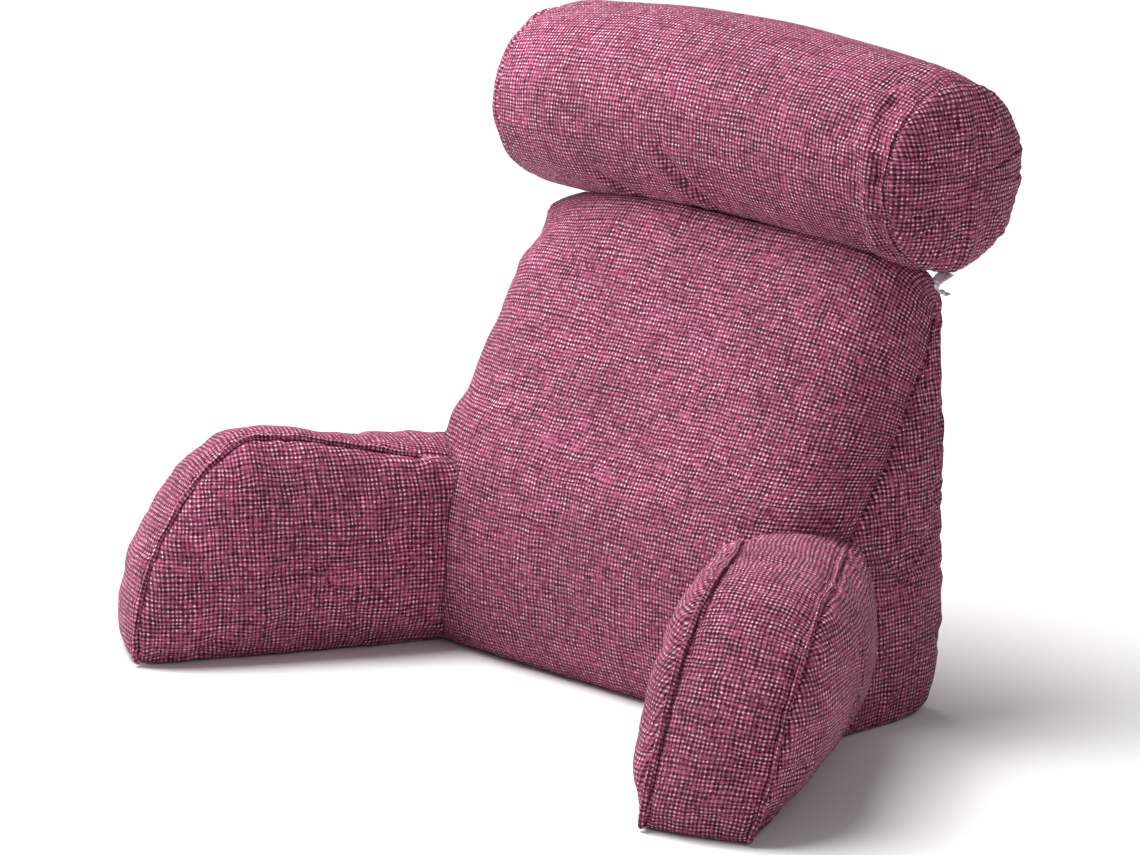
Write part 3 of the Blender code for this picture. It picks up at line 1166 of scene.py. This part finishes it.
@dataclass
class BackRest:
    """The wedge-shaped back: a wide band from the base up the front, over the top and down behind."""

    shift: Array
    roll: NeckRoll
    half_width: float = 242 * MM
    side_crown: float = 17 * MM
    side_centre: tuple[float, float] = (-58 * MM, 128 * MM)
    round_from: float = 300 * MM
    round_to: float = 350 * MM
    narrow_from: float = 225 * MM
    left_narrowing: float = 0.044
    heel: float = 9 * MM
    heel_height: float = 30 * MM
    settle: float = 1.0 * MM
    around: int = 320
    across: int = 120

    def edge(self, x: float) -> tuple[float, float, float]:
        """How squarely the crown holds to the seam at x, low down and at the top, and how soft the top is."""
        return (4.0, 2.7, 0.33) if x < 0.0 else (7.0, 8.0, 0.16)

    def section(self, outline: Array, x: float) -> Array:
        """The closed section at x, before the shift.

        Args:
            outline: Rows of the back's outline, in metres.
            x: Where the section is.

        Returns:
            Its points (n, 3).
        """
        seam, middle = outline[:, :2], outline[:, 2:]
        share = min(1.0, abs(x) / self.half_width)
        top = ramp(outline[:, 1], self.round_from, self.round_to)
        low, high, softness = self.edge(x)
        crown = (1.0 - share ** (low + (high - low) * top)) ** (0.5 + softness * top)
        yz = seam + (middle - seam) * crown[:, None]
        narrow = self.left_narrowing if x < 0.0 else 0.0
        shoulder = 1.0 - narrow * ramp(outline[:, 1], self.narrow_from, self.round_to)
        under = ramp(outline[:, 0], 0.0, -60 * MM) * ramp(outline[:, 0], -190 * MM, -130 * MM)
        heel = math.copysign(self.heel, x) * share**6 * np.exp(-outline[:, 1] / self.heel_height) * under
        return np.column_stack([x * shoulder + heel, yz[:, 0], np.maximum(yz[:, 1], 0.0)])

    def body(self) -> Body:
        """Lays out the band and the two side gussets.

        Returns:
            The back's smooth body.
        """
        outline = smooth_closed(np.array(BACK_OUTLINE) * MM, self.around)
        angles = np.linspace(-math.pi / 2, math.pi / 2, self.across + 1)
        points = np.array([self.section(outline, self.half_width * math.sin(a)) for a in angles])
        points = points + self.shift
        sides = []
        for side, seam in ((-1, points[0]), (1, points[-1])):
            panel = StuffedPanel(np.array([side, 0.0, 0.0]), self.side_crown, 0.5)
            centre = np.array([side * self.half_width, *self.side_centre]) + self.shift
            sides.append(panel.patch(seam, centre, np.array(UPRIGHT_AXES)))
        return Body.between("back_cover", sides[0], Patch.band(points, halved=False), sides[1])

    def press_under_roll(self, points: Array) -> Array:
        """Presses the cloth down where the roll lies on it.

        Args:
            points: The cover's points.

        Returns:
            The points, none of them inside the roll.
        """
        local = points - self.shift
        x = np.clip(local[..., 0], -self.roll.half_length, self.roll.half_length)
        axis = np.stack([np.full(x.shape, self.roll.centre_y), self.roll.axis_z(x)], axis=-1)
        away = local[..., 1:] - axis
        distance = np.linalg.norm(away, axis=-1)
        keep = self.roll.radius_at(x) + 1.2 * MM
        push = np.maximum(keep - distance, 0.0)
        unit = away / np.maximum(distance, 1e-6)[..., None]
        pressed = points.copy()
        pressed[..., 1:] += unit * push[..., None]
        return pressed

    def build(self, cloth: Material) -> Object:
        """Adds the gathers, presses the roll's seat and makes the piece.

        Args:
            cloth: The cover's material.

        Returns:
            The back's cover.
        """
        body = self.body()
        points, normals, gap, run = body.fields()
        free = ramp(points[..., 2], 0.0, 15 * MM)
        lift = 0.8 * MM * lumps(points, 150 * MM, 21)
        lift += Gathers(22 * MM, 0.5 * MM, 9 * MM, 7).lift(run, gap)
        lift += Gathers(70 * MM, 0.9 * MM, 32 * MM, 9).lift(run, gap)
        lift -= drawn_in(gap, 1.6 * MM, 3.0 * MM)
        moved = points + normals * (lift * free)[..., None]
        moved += body.settled(moved, gap, self.settle)
        moved = self.press_under_roll(moved)
        moved[..., 2] = np.maximum(moved[..., 2], 0.0)
        return body.mesh_object(moved, cloth)


@dataclass(frozen=True)
class ArmCut:
    """What differs between the two arms, as the photo shows them.

    length_share is the arm's length against the outline table, outer_reach how far the outer seam
    stands ahead of the inner one, and drop how much lower it is. nose leans the front end, the feet
    draw the seams in at the floor, and ear is the pinch where they end.
    """

    length_share: float
    outer_reach: float
    drop: float
    nose: float
    inner_foot: float
    outer_foot: float
    inner_crown: float
    ear: float


ARM_CUTS = {
    Side.LEFT: ArmCut(0.97, -12 * MM, 0.1, 4.5 * MM, 11 * MM, 0.0, 34 * MM, 1.0 * MM),
    Side.RIGHT: ArmCut(1.0, 9 * MM, 0.055, 0.0, 3 * MM, 6 * MM, 40 * MM, 4.0 * MM),
}


@dataclass
class ArmRest:
    """An arm: D-shaped inner and outer panels joined by a gusset strip, stuffed."""

    side: Side
    shift: Array
    root: tuple[float, float] = (199 * MM, -179 * MM)
    splay: float = math.radians(25.2)
    centre: tuple[float, float] = (110 * MM, 85 * MM)
    outer_crown: float = 40 * MM
    gusset_crown: float = 8 * MM
    clearance: float = 0.6 * MM
    settle: float = 1.7 * MM
    tuck_depths: tuple[float, float] = (7.5 * MM, 9 * MM)
    tuck_heights: tuple[float, float] = (60 * MM, 95 * MM)
    tuck_from_seam: float = 18 * MM
    ear_lean: float = 0.45
    ear_height: float = 34 * MM
    ear_reach: float = 11 * MM
    around: int = 288
    across: int = 30
    seams: dict[Edge, Array] = field(default_factory=dict)

    @property
    def cut(self) -> ArmCut:
        """What is this arm's own."""
        return ARM_CUTS[self.side]

    @property
    def label(self) -> str:
        """The side's name in lower case."""
        return self.side.name.lower()

    def place(self, along: Array, sideways: Array, up: Array) -> Array:
        """Row-frame place of points given in the arm's own directions.

        Args:
            along: Forward from the root.
            sideways: Outward from it.
            up: Height.

        Returns:
            Places (..., 3).
        """
        x = self.root[0] + math.sin(self.splay) * along + math.cos(self.splay) * sideways
        y = self.root[1] - math.cos(self.splay) * along + math.sin(self.splay) * sideways
        return np.stack([self.side.value * x, y + 0.0 * x, up + 0.0 * x], axis=-1) + self.shift

    def direction(self, along: float, sideways: float, up: float) -> Array:
        """Row-frame direction of a vector given in the arm's own directions."""
        return self.place(along, sideways, up) - self.place(0.0, 0.0, 0.0)

    def outline(self) -> tuple[Array, Array]:
        """The outline's rows and their outward normals in the along-up plane.

        Returns:
            Rows (n, 4), and normals (n, 2).
        """
        rows = smooth_closed(np.array(ARM_OUTLINE) * MM, self.around)
        rows[:, 1] = np.maximum(rows[:, 1], 0.0)
        tangent = np.roll(rows, -1, 0)[:, :2] - np.roll(rows, 1, 0)[:, :2]
        normal = np.stack([tangent[:, 1], -tangent[:, 0]], axis=1)
        return rows, normal / np.linalg.norm(normal, axis=1)[:, None]

    def body(self) -> Body:
        """Lays out the inner panel, the gusset and the outer panel.

        Returns:
            The arm's smooth body.
        """
        rows, normal = self.outline()
        along, up, inner_side, outer_side = rows.T
        cut = self.cut
        nose = cut.nose * ramp(along, 90 * MM, 200 * MM) * np.clip((100 * MM - up) / (55 * MM), -1.0, 1.0)
        reach = np.where(along > 0.0, along * cut.length_share, along) + nose
        forward = ramp(along, 0.0, along.max()) * cut.outer_reach
        lower = 1.0 - cut.drop * ramp(along, -20 * MM, 90 * MM)
        inner_foot = cut.inner_foot * ramp(up, 48 * MM, 0.0) ** 1.4
        outer_foot = cut.outer_foot * ramp(up, 60 * MM, 0.0) ** 1.4
        inner = self.place(reach, inner_side + inner_foot, up)
        outer = self.place(reach + forward, outer_side - outer_foot, up * lower)
        self.seams = {Edge.INNER: inner, Edge.OUTER: outer}
        on_floor = (up < 1 * MM) & (along < 250 * MM)
        swell = np.where(on_floor | (along <= -60 * MM), 0.0, 0.5 + 0.5 * ramp(up, 0.0, 30 * MM))
        outward = np.array([self.direction(a, 0.0, b) for a, b in normal])
        band = []
        for share in np.linspace(0.0, 1.0, self.across + 1):
            lift = self.gusset_crown * (4.0 * share * (1.0 - share)) ** 0.8
            band.append(inner + (outer - inner) * share + outward * (lift * swell)[:, None])
        points = np.array(band)
        points[..., 2] = np.maximum(points[..., 2], 0.0)
        centre = self.place(self.centre[0], 0.0, self.centre[1])
        out = self.direction(0.0, 1.0, 0.0)
        axes = np.array([self.direction(1.0, 0.0, 0.0), [0.0, 0.0, 1.0]])
        inside = StuffedPanel(-out, cut.inner_crown, 0.36).patch(inner, centre, axes)
        outside = StuffedPanel(out, self.outer_crown, 0.6).patch(outer, centre, axes)
        return Body.between(f"arm_cover_{self.label}", inside, Patch.band(points, halved=True), outside)

    def flare(self, points: Array, gap: Array) -> Array:
        """The pinched ears where both seams end at the front of the floor.

        Args:
            points: The cover's grid.
            gap: Distance in from the seams.

        Returns:
            Moves, one a point.
        """
        rows = np.arange(len(points))[:, None]
        inner = rows < PANEL_ROWS + self.across // 2
        sideways = np.where(inner, -self.ear_lean, self.ear_lean)[..., None] * self.direction(0.0, 1.0, 0.0)
        ahead = self.direction(1.0, 0.0, 0.0)
        front = (points - self.place(0.0, 0.0, 0.0)) @ ahead > 200 * MM
        low = ramp(points[..., 2], self.ear_height, 0.0) ** 2
        size = self.cut.ear * low * front * np.exp(-gap / self.ear_reach)
        return size[..., None] * (ahead + sideways)

    def tuck(self, points: Array, gap: Array) -> Array:
        """How far the cloth draws in towards the floor, more on the outer panel.

        Args:
            points: The cover's grid.
            gap: Distance in from the seams.

        Returns:
            Depths, one a point.
        """
        rows = np.arange(len(points))[:, None]
        outer, inner = rows >= len(points) - PANEL_ROWS, rows < PANEL_ROWS
        depth = np.where(outer, self.tuck_depths[1], np.where(inner, self.tuck_depths[0], 0.0))
        height = np.where(outer, self.tuck_heights[1], self.tuck_heights[0])
        return depth * ramp(points[..., 2], height, 0.0) ** 1.5 * ramp(gap, 0.0, self.tuck_from_seam)

    def clear_of(self, points: Array, poles: Array, back: Object) -> tuple[Array, Array]:
        """Brings the points that lie inside the back forward on to its cloth.

        Args:
            points: The cover's grid.
            poles: Its two poles.
            back: The back's cover.

        Returns:
            The grid and the poles, clear of the back.
        """
        work = bmesh.new()
        work.from_mesh(back.data)
        tree = BVHTree.FromBMesh(work)
        work.free()
        ahead = Vector(self.direction(1.0, 0.0, 0.0)).normalized()
        everything = np.concatenate([points.reshape(-1, 3), poles])
        front = min(vertex.co.y for vertex in back.data.vertices)
        for i in np.flatnonzero(everything[:, 1] > front - 5 * MM):
            hit, normal, *_ = tree.ray_cast(Vector(everything[i]), ahead)
            if hit is not None and normal.dot(ahead) > 0.0:
                everything[i] = hit + ahead * self.clearance
        return everything[:-2].reshape(points.shape), everything[-2:]

    def build(self, cloth: Material, back: Object) -> Object:
        """Adds the gathers and makes the piece.

        Args:
            cloth: The cover's material.
            back: The back's cover, which the arm meets.

        Returns:
            The arm's cover.
        """
        body = self.body()
        points, normals, gap, run = body.fields()
        seed = 40 + self.side.value
        free = ramp(points[..., 2], 0.0, 12 * MM)
        lift = 0.9 * MM * lumps(points, 110 * MM, seed)
        lift += Gathers(16 * MM, 0.6 * MM, 8 * MM, seed + 5).lift(run, gap)
        lift += Gathers(55 * MM, 1.2 * MM, 22 * MM, seed + 9).lift(run, gap)
        lift -= drawn_in(gap, 3.6 * MM * (gap > 0.5 * MM), 3.4 * MM, away=2.5 * MM)
        moved = points + normals * (lift * free - self.tuck(points, gap))[..., None]
        moved += self.flare(points, gap)
        moved += body.settled(moved, gap, self.settle)
        moved[..., 2] = np.maximum(moved[..., 2], 0.0)
        seam_row = len(body.patches[0].points) - 1
        self.seams = {Edge.INNER: moved[seam_row], Edge.OUTER: moved[seam_row + self.across]}
        moved, poles = self.clear_of(moved, np.array(body.poles), back)
        body.poles = tuple(poles)
        return body.mesh_object(moved, cloth)


@dataclass
class WeltSweep:
    """Geometry Nodes that sweep a round welt along a seam line, with a slight seeded waver."""

    cloth: Material
    sides: int = 12
    tree: bpy.types.NodeTree | None = None

    SIZES = ("Radius", "Ear radius", "Waver", "Wave length", "Pitch", "Seed")

    def __post_init__(self) -> None:
        """Builds the tree once for all welts."""
        tree = bpy.data.node_groups.new("welt_sweep", "GeometryNodeTree")
        tree.interface.new_socket("Geometry", in_out="INPUT", socket_type="NodeSocketGeometry")
        for name in self.SIZES:
            tree.interface.new_socket(name, in_out="INPUT", socket_type="NodeSocketFloat")
        tree.interface.new_socket("Geometry", in_out="OUTPUT", socket_type="NodeSocketGeometry")
        s = NodeSheet(tree)
        given = s.node("NodeGroupInput").outputs
        curve = s.join(given["Geometry"], s.node("GeometryNodeMeshToCurve"), "Mesh")
        even = s.join(curve.outputs[0], s.node("GeometryNodeResampleCurve", mode="LENGTH"), "Curve")
        s.feed(even.inputs["Length"], given["Pitch"])
        run = self.captured(s, even.outputs[0], "Length")
        noise = s.node("ShaderNodeTexNoise", noise_dimensions="4D")
        s.feed(noise.inputs["Vector"], s.node("GeometryNodeInputPosition").outputs[0])
        s.feed(noise.inputs["W"], given["Seed"])
        s.feed(noise.inputs["Scale"], s.math("DIVIDE", 1.0, given["Wave length"]))
        s.feed(noise.inputs["Detail"], 1.0)
        centred = s.node("ShaderNodeVectorMath", operation="SUBTRACT")
        s.feed(centred.inputs[0], noise.outputs["Color"])
        s.feed(centred.inputs[1], (0.5, 0.5, 0.5))
        waver = s.node("ShaderNodeVectorMath", operation="SCALE")
        s.feed(waver.inputs[0], centred.outputs[0])
        s.feed(waver.inputs["Scale"], given["Waver"])
        moved = s.join(run.outputs["Geometry"], s.node("GeometryNodeSetPosition"), "Geometry")
        s.feed(moved.inputs["Offset"], waver.outputs[0])
        ear = s.node("GeometryNodeInputNamedAttribute", data_type="FLOAT")
        ear.inputs["Name"].default_value = "ear"
        radius = s.blend(ear.outputs[0], given["Radius"], given["Ear radius"])
        radius = s.times(radius, s.scaled(noise.outputs["Fac"], 0.5, 0.75))
        circle = s.node("GeometryNodeCurvePrimitiveCircle")
        circle.inputs["Resolution"].default_value = self.sides
        circle.inputs["Radius"].default_value = 1.0
        round_run = self.captured(s, circle.outputs[0], "Factor")
        tube = s.join(moved.outputs[0], s.node("GeometryNodeCurveToMesh"), "Curve")
        s.join(round_run.outputs["Geometry"], tube, "Profile Curve")
        s.feed(tube.inputs["Scale"], radius)
        tube.inputs["Fill Caps"].default_value = True
        girth = s.times(round_run.outputs["Factor"], s.times(given["Radius"], 2 * math.pi))
        stored = s.node("GeometryNodeStoreNamedAttribute", data_type="FLOAT2", domain="CORNER")
        s.join(tube.outputs[0], stored, "Geometry")
        stored.inputs["Name"].default_value = "Cloth"
        s.feed(stored.inputs["Value"], s.vector(girth, run.outputs["Length"]))
        smooth = s.join(stored.outputs[0], s.node("GeometryNodeSetShadeSmooth"), "Geometry")
        real = s.join(smooth.outputs[0], s.node("GeometryNodeRealizeInstances"), "Geometry")
        dressed = s.join(real.outputs[0], s.node("GeometryNodeSetMaterial"), "Geometry")
        dressed.inputs["Material"].default_value = self.cloth
        s.feed(s.node("NodeGroupOutput").inputs[0], dressed.outputs[0])
        self.tree = tree

    def captured(self, s: NodeSheet, curve: Socket, name: str) -> bpy.types.Node:
        """Keeps one spline parameter of a curve for use after it becomes a mesh.

        Args:
            s: The tree's nodes.
            curve: The curve.
            name: The parameter: "Length" or "Factor".

        Returns:
            The capture node, with the parameter among its outputs.
        """
        capture = s.node("GeometryNodeCaptureAttribute")
        capture.capture_items.new("FLOAT", name)
        s.join(curve, capture, "Geometry")
        s.feed(capture.inputs[name], s.node("GeometryNodeSplineParameter").outputs[name])
        return capture

    def sweep(self, name: str, line: Array, ear: Array, sizes: dict[str, float]) -> Object:
        """Makes one welt.

        Args:
            name: The object's name.
            line: Its middle line.
            ear: 1 where the welt is a pinched ear, and 0 where it is plain.
            sizes: Values for the tree's named inputs.

        Returns:
            A plain mesh object.
        """
        mesh = bpy.data.meshes.new(name)
        edges = [(i, i + 1) for i in range(len(line) - 1)]
        mesh.from_pydata(line.tolist(), edges, [])
        mesh.attributes.new("ear", "FLOAT", "POINT").data.foreach_set("value", ear.astype(np.float32))
        obj = placed(name, mesh)
        modifier = obj.modifiers.new("sweep", "NODES")
        modifier.node_group = self.tree
        for item in self.tree.interface.items_tree:
            if item.in_out == "INPUT" and item.name in sizes:
                modifier[item.identifier] = sizes[item.name]
        swept = bpy.data.meshes.new_from_object(obj.evaluated_get(bpy.context.evaluated_depsgraph_get()))
        obj.modifiers.clear()
        obj.data = swept
        obj.data.name = name
        turn_outward(obj)
        return obj


@dataclass(frozen=True)
class WeltCut:
    """What differs between an arm's two welts: the inner one is plumper and stands outside its seam."""

    radius: float
    proud: float
    sideways: float
    start: float
    seed: float


WELT_CUTS = {
    Edge.INNER: WeltCut(2.7 * MM, 1.7 * MM, -1.0, 12 * MM, 1.7),
    Edge.OUTER: WeltCut(2.0 * MM, 0.0, 1.0, 0.0, 0.0),
}


@dataclass
class SeamWelt:
    """The self-fabric welt along one arm seam, ending in a pinched ear at the floor."""

    arm: ArmRest
    edge: Edge
    ear_run: float = 22 * MM
    ear_proud: float = 1.0 * MM
    floor_gap: float = 3.6 * MM

    def build(self, sweep: WeltSweep) -> Object:
        """Sweeps the welt along the seam.

        Args:
            sweep: The Geometry Nodes to use.

        Returns:
            The welt.
        """
        rows, normal = self.arm.outline()
        seam = self.arm.seams[self.edge]
        cut = WELT_CUTS[self.edge]
        picked = np.flatnonzero((rows[:, 1] > 3 * MM) & (rows[:, 0] > cut.start))
        run = ring_run(seam)[picked]
        ear = np.clip(1.0 - (run - run[0]) / self.ear_run, 0.0, 1.0) ** 2
        line = []
        for i, pinch in zip(picked, ear):
            out = self.arm.direction(normal[i, 0], cut.sideways, normal[i, 1])
            out /= np.linalg.norm(out)
            line.append(seam[i] + out * (cut.proud + self.ear_proud * pinch))
        points = np.array(line)
        points[:, 2] = np.maximum(points[:, 2], self.floor_gap)
        sizes = {
            "Radius": cut.radius,
            "Ear radius": 2.5 * MM,
            "Waver": 2.6 * MM,
            "Wave length": 22 * MM,
            "Pitch": 2.5 * MM,
            "Seed": 3.1 * self.arm.side.value + cut.seed + 9.0,
        }
        return sweep.sweep(f"welt_{self.edge.value}_{self.arm.label}", points, ear, sizes)


@dataclass
class CornerTape:
    """The short folded tape at the back's right top corner."""

    shift: Array
    x: float = 238 * MM
    width: float = 13 * MM
    thickness: float = 0.7 * MM
    knots: tuple[tuple[float, float], ...] = (
        (13, 377),
        (7, 375.5),
        (1, 373),
        (-4, 370),
        (-4, 365.5),
        (2, 361.5),
        (9, 361),
    )

    def build(self, satin: Material) -> tuple[Object, float]:
        """Makes the folded tape.

        Args:
            satin: Its finish.

        Returns:
            The tape and its length along the fold.
        """
        path = upsample(np.array(self.knots) * MM, 6, wraps=False)
        tangent = np.gradient(path, axis=0)
        tangent /= np.linalg.norm(tangent, axis=1)[:, None]
        normal = np.stack([-tangent[:, 1], tangent[:, 0]], axis=1)
        crumple = 1.1 * MM * wander(np.arange(len(path)) * 1.0, 7.0, 5)
        across = np.linspace(-0.5, 0.5, 9)
        tilt = np.array([0.0, -0.2])
        rows = []
        for i, (y, z) in enumerate(path):
            ripple = crumple[i] * np.sin(across * 9.0 + i * 0.35)
            width = self.width * (1.0 - 0.35 * math.exp(-(((i - 20) / 6.0) ** 2)))
            sides = []
            for half in (self.thickness / 2, -self.thickness / 2):
                spots = [path[i] + normal[i] * (r + half) + tilt * a * width for a, r in zip(across, ripple)]
                sides.append([(self.x + a * width, *spot) for a, spot in zip(across, spots)])
            rows.append(sides[0] + sides[1][::-1])
        rings = np.array(rows) + self.shift
        girth, run = ring_run(rings[len(rings) // 2]), run_along(rings.mean(1))
        uv = np.stack(np.broadcast_arrays(girth[None], run[:, None]), axis=-1)
        flat = np.zeros(rings.shape[:2])
        poles = (rings[0].mean(0), rings[-1].mean(0))
        body = Body("corner_tape_satin", [Patch(rings, uv, flat, flat)], poles, (uv[0, 0], uv[-1, 0]))
        return body.mesh_object(rings, satin), float(run_along(path)[-1])


@dataclass(frozen=True)
class Studio:
    """Floor, lights and camera."""

    floor_reach: float = 30.0
    floor_drop: float = 0.5 * MM
    focal_pixels: float = 7000.0
    picture_width: float = 1140.0
    camera_distance: float = 5.403

    def plain(self, name: str, colour: Colour) -> Material:
        """A matt material for the floor.

        Args:
            name: Its name.
            colour: Its colour.

        Returns:
            The material.
        """
        material = bpy.data.materials.new(name)
        sheet = NodeSheet.of(material)
        sheet.surface({"Base Color": colour, "Roughness": 0.9})
        return material

    def floor(self) -> Object:
        """A wide pale floor.

        Returns:
            The floor.
        """
        mesh = bpy.data.meshes.new("floor")
        far = self.floor_reach
        mesh.from_pydata([(-far, -far, 0), (far, -far, 0), (far, far, 0), (-far, far, 0)], [], [(0, 1, 2, 3)])
        mesh.materials.append(self.plain("pale_floor", (0.88, 0.88, 0.88, 1.0)))
        floor = placed("floor", mesh)
        floor.location.z = -self.floor_drop
        return floor

    def lamp(self, name: str, place: tuple[float, float, float], size: float, power: float) -> None:
        """An area lamp aimed at the pillow.

        Args:
            name: Its name.
            place: Where it stands.
            size: Its width.
            power: Its watts.
        """
        data = bpy.data.lights.new(name, "AREA")
        data.shape = "DISK"
        data.size = size
        data.energy = power
        lamp = placed(name, data)
        lamp.visible_camera = False
        lamp.location = place
        aim = Vector((0.0, 0.0, 0.25)) - Vector(place)
        lamp.rotation_euler = aim.to_track_quat("-Z", "Y").to_euler()

    def lights(self) -> None:
        """A soft key from above the left of the picture, in a dim pale room."""
        data = bpy.data.lights.new("key", "SUN")
        data.energy = 3.45
        data.angle = math.radians(44.0)
        key = placed("key", data)
        key.rotation_euler = Vector((0.43, 0.06, -0.90)).to_track_quat("-Z", "Y").to_euler()
        self.lamp("near_key", (-0.5, -0.25, 1.12), 0.55, 8.5)
        self.lamp("left_softbox", (-2.1, -1.1, 0.5), 1.2, 20.0)
        self.lamp("right_fill", (2.6, -0.9, 1.5), 2.2, 12.0)
        world = bpy.data.worlds.new("pale_room")
        world.use_nodes = True
        background = world.node_tree.nodes["Background"]
        background.inputs["Color"].default_value = (1.0, 1.0, 1.0, 1.0)
        background.inputs["Strength"].default_value = 0.21
        bpy.context.scene.world = world
        bpy.context.scene.view_settings.view_transform = "Standard"

    def camera(self, shift: Array) -> None:
        """The fitted long-lens camera.

        Args:
            shift: The row frame's offset from the outline tables.
        """
        azimuth, elevation = math.radians(46.1), math.radians(14.7)
        level = math.cos(elevation)
        back = Vector((math.sin(azimuth) * level, -math.cos(azimuth) * level, math.sin(elevation)))
        target = Vector((387.2 * MM, -573.9 * MM, 377.0 * MM)) + Vector(shift)
        data = bpy.data.cameras.new("camera")
        data.sensor_width = 36.0
        data.lens = self.focal_pixels * data.sensor_width / self.picture_width
        data.clip_end = 100.0
        camera = placed("camera", data)
        turned = back.to_track_quat("Z", "Y").to_matrix().to_4x4()
        camera.matrix_world = Matrix.Translation(target + back * self.camera_distance) @ turned
        bpy.context.scene.camera = camera


def finish_piece(piece: Object, node: str) -> None:
    """Puts a piece on the body and has it stand for its CAD node.

    Args:
        piece: The finished piece.
        node: The node that it replaces.
    """
    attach(piece, "root")
    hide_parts(node)
    faces = sum(len(polygon.vertices) - 2 for polygon in piece.data.polygons)
    LOG.info("%s stands for %s, %d triangles", piece.name, node, faces)


def main() -> None:
    """Builds the pillow and its studio in order."""
    logging.basicConfig(level=logging.INFO, format="%(name)s: %(message)s")
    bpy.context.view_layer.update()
    roll_low, roll_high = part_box("neck_roll")
    middle = (np.array(roll_low) + np.array(roll_high)) / 2
    shift = np.array([middle[0], middle[1] - NeckRoll.centre_y, 0.0])
    weave = BasketWeave()
    cloth = weave.material()
    satin = SatinTape().material()

    roll = NeckRoll(shift)
    roll_cover = roll.build(BasketWeave(name="rose_basket_weave_ribbed", rib=1.0).material())
    finish_piece(roll_cover, "neck_roll")

    back_cover = BackRest(shift, roll).build(cloth)
    finish_piece(back_cover, "back_cushion")

    sweep = WeltSweep(cloth)
    for side in Side:
        arm = ArmRest(side, shift)
        cover = arm.build(cloth, back_cover)
        finish_piece(cover, f"arm_{arm.label}")
        for edge in Edge:
            welt = SeamWelt(arm, edge).build(sweep)
            finish_piece(welt, f"{edge.value}_welt_{arm.label}")

    tape, length = CornerTape(shift).build(satin)
    finish_piece(tape, "corner_tape")

    studio = Studio()
    studio.floor()
    studio.lights()
    studio.camera(shift)
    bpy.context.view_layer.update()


if __name__ == "__main__":
    main()
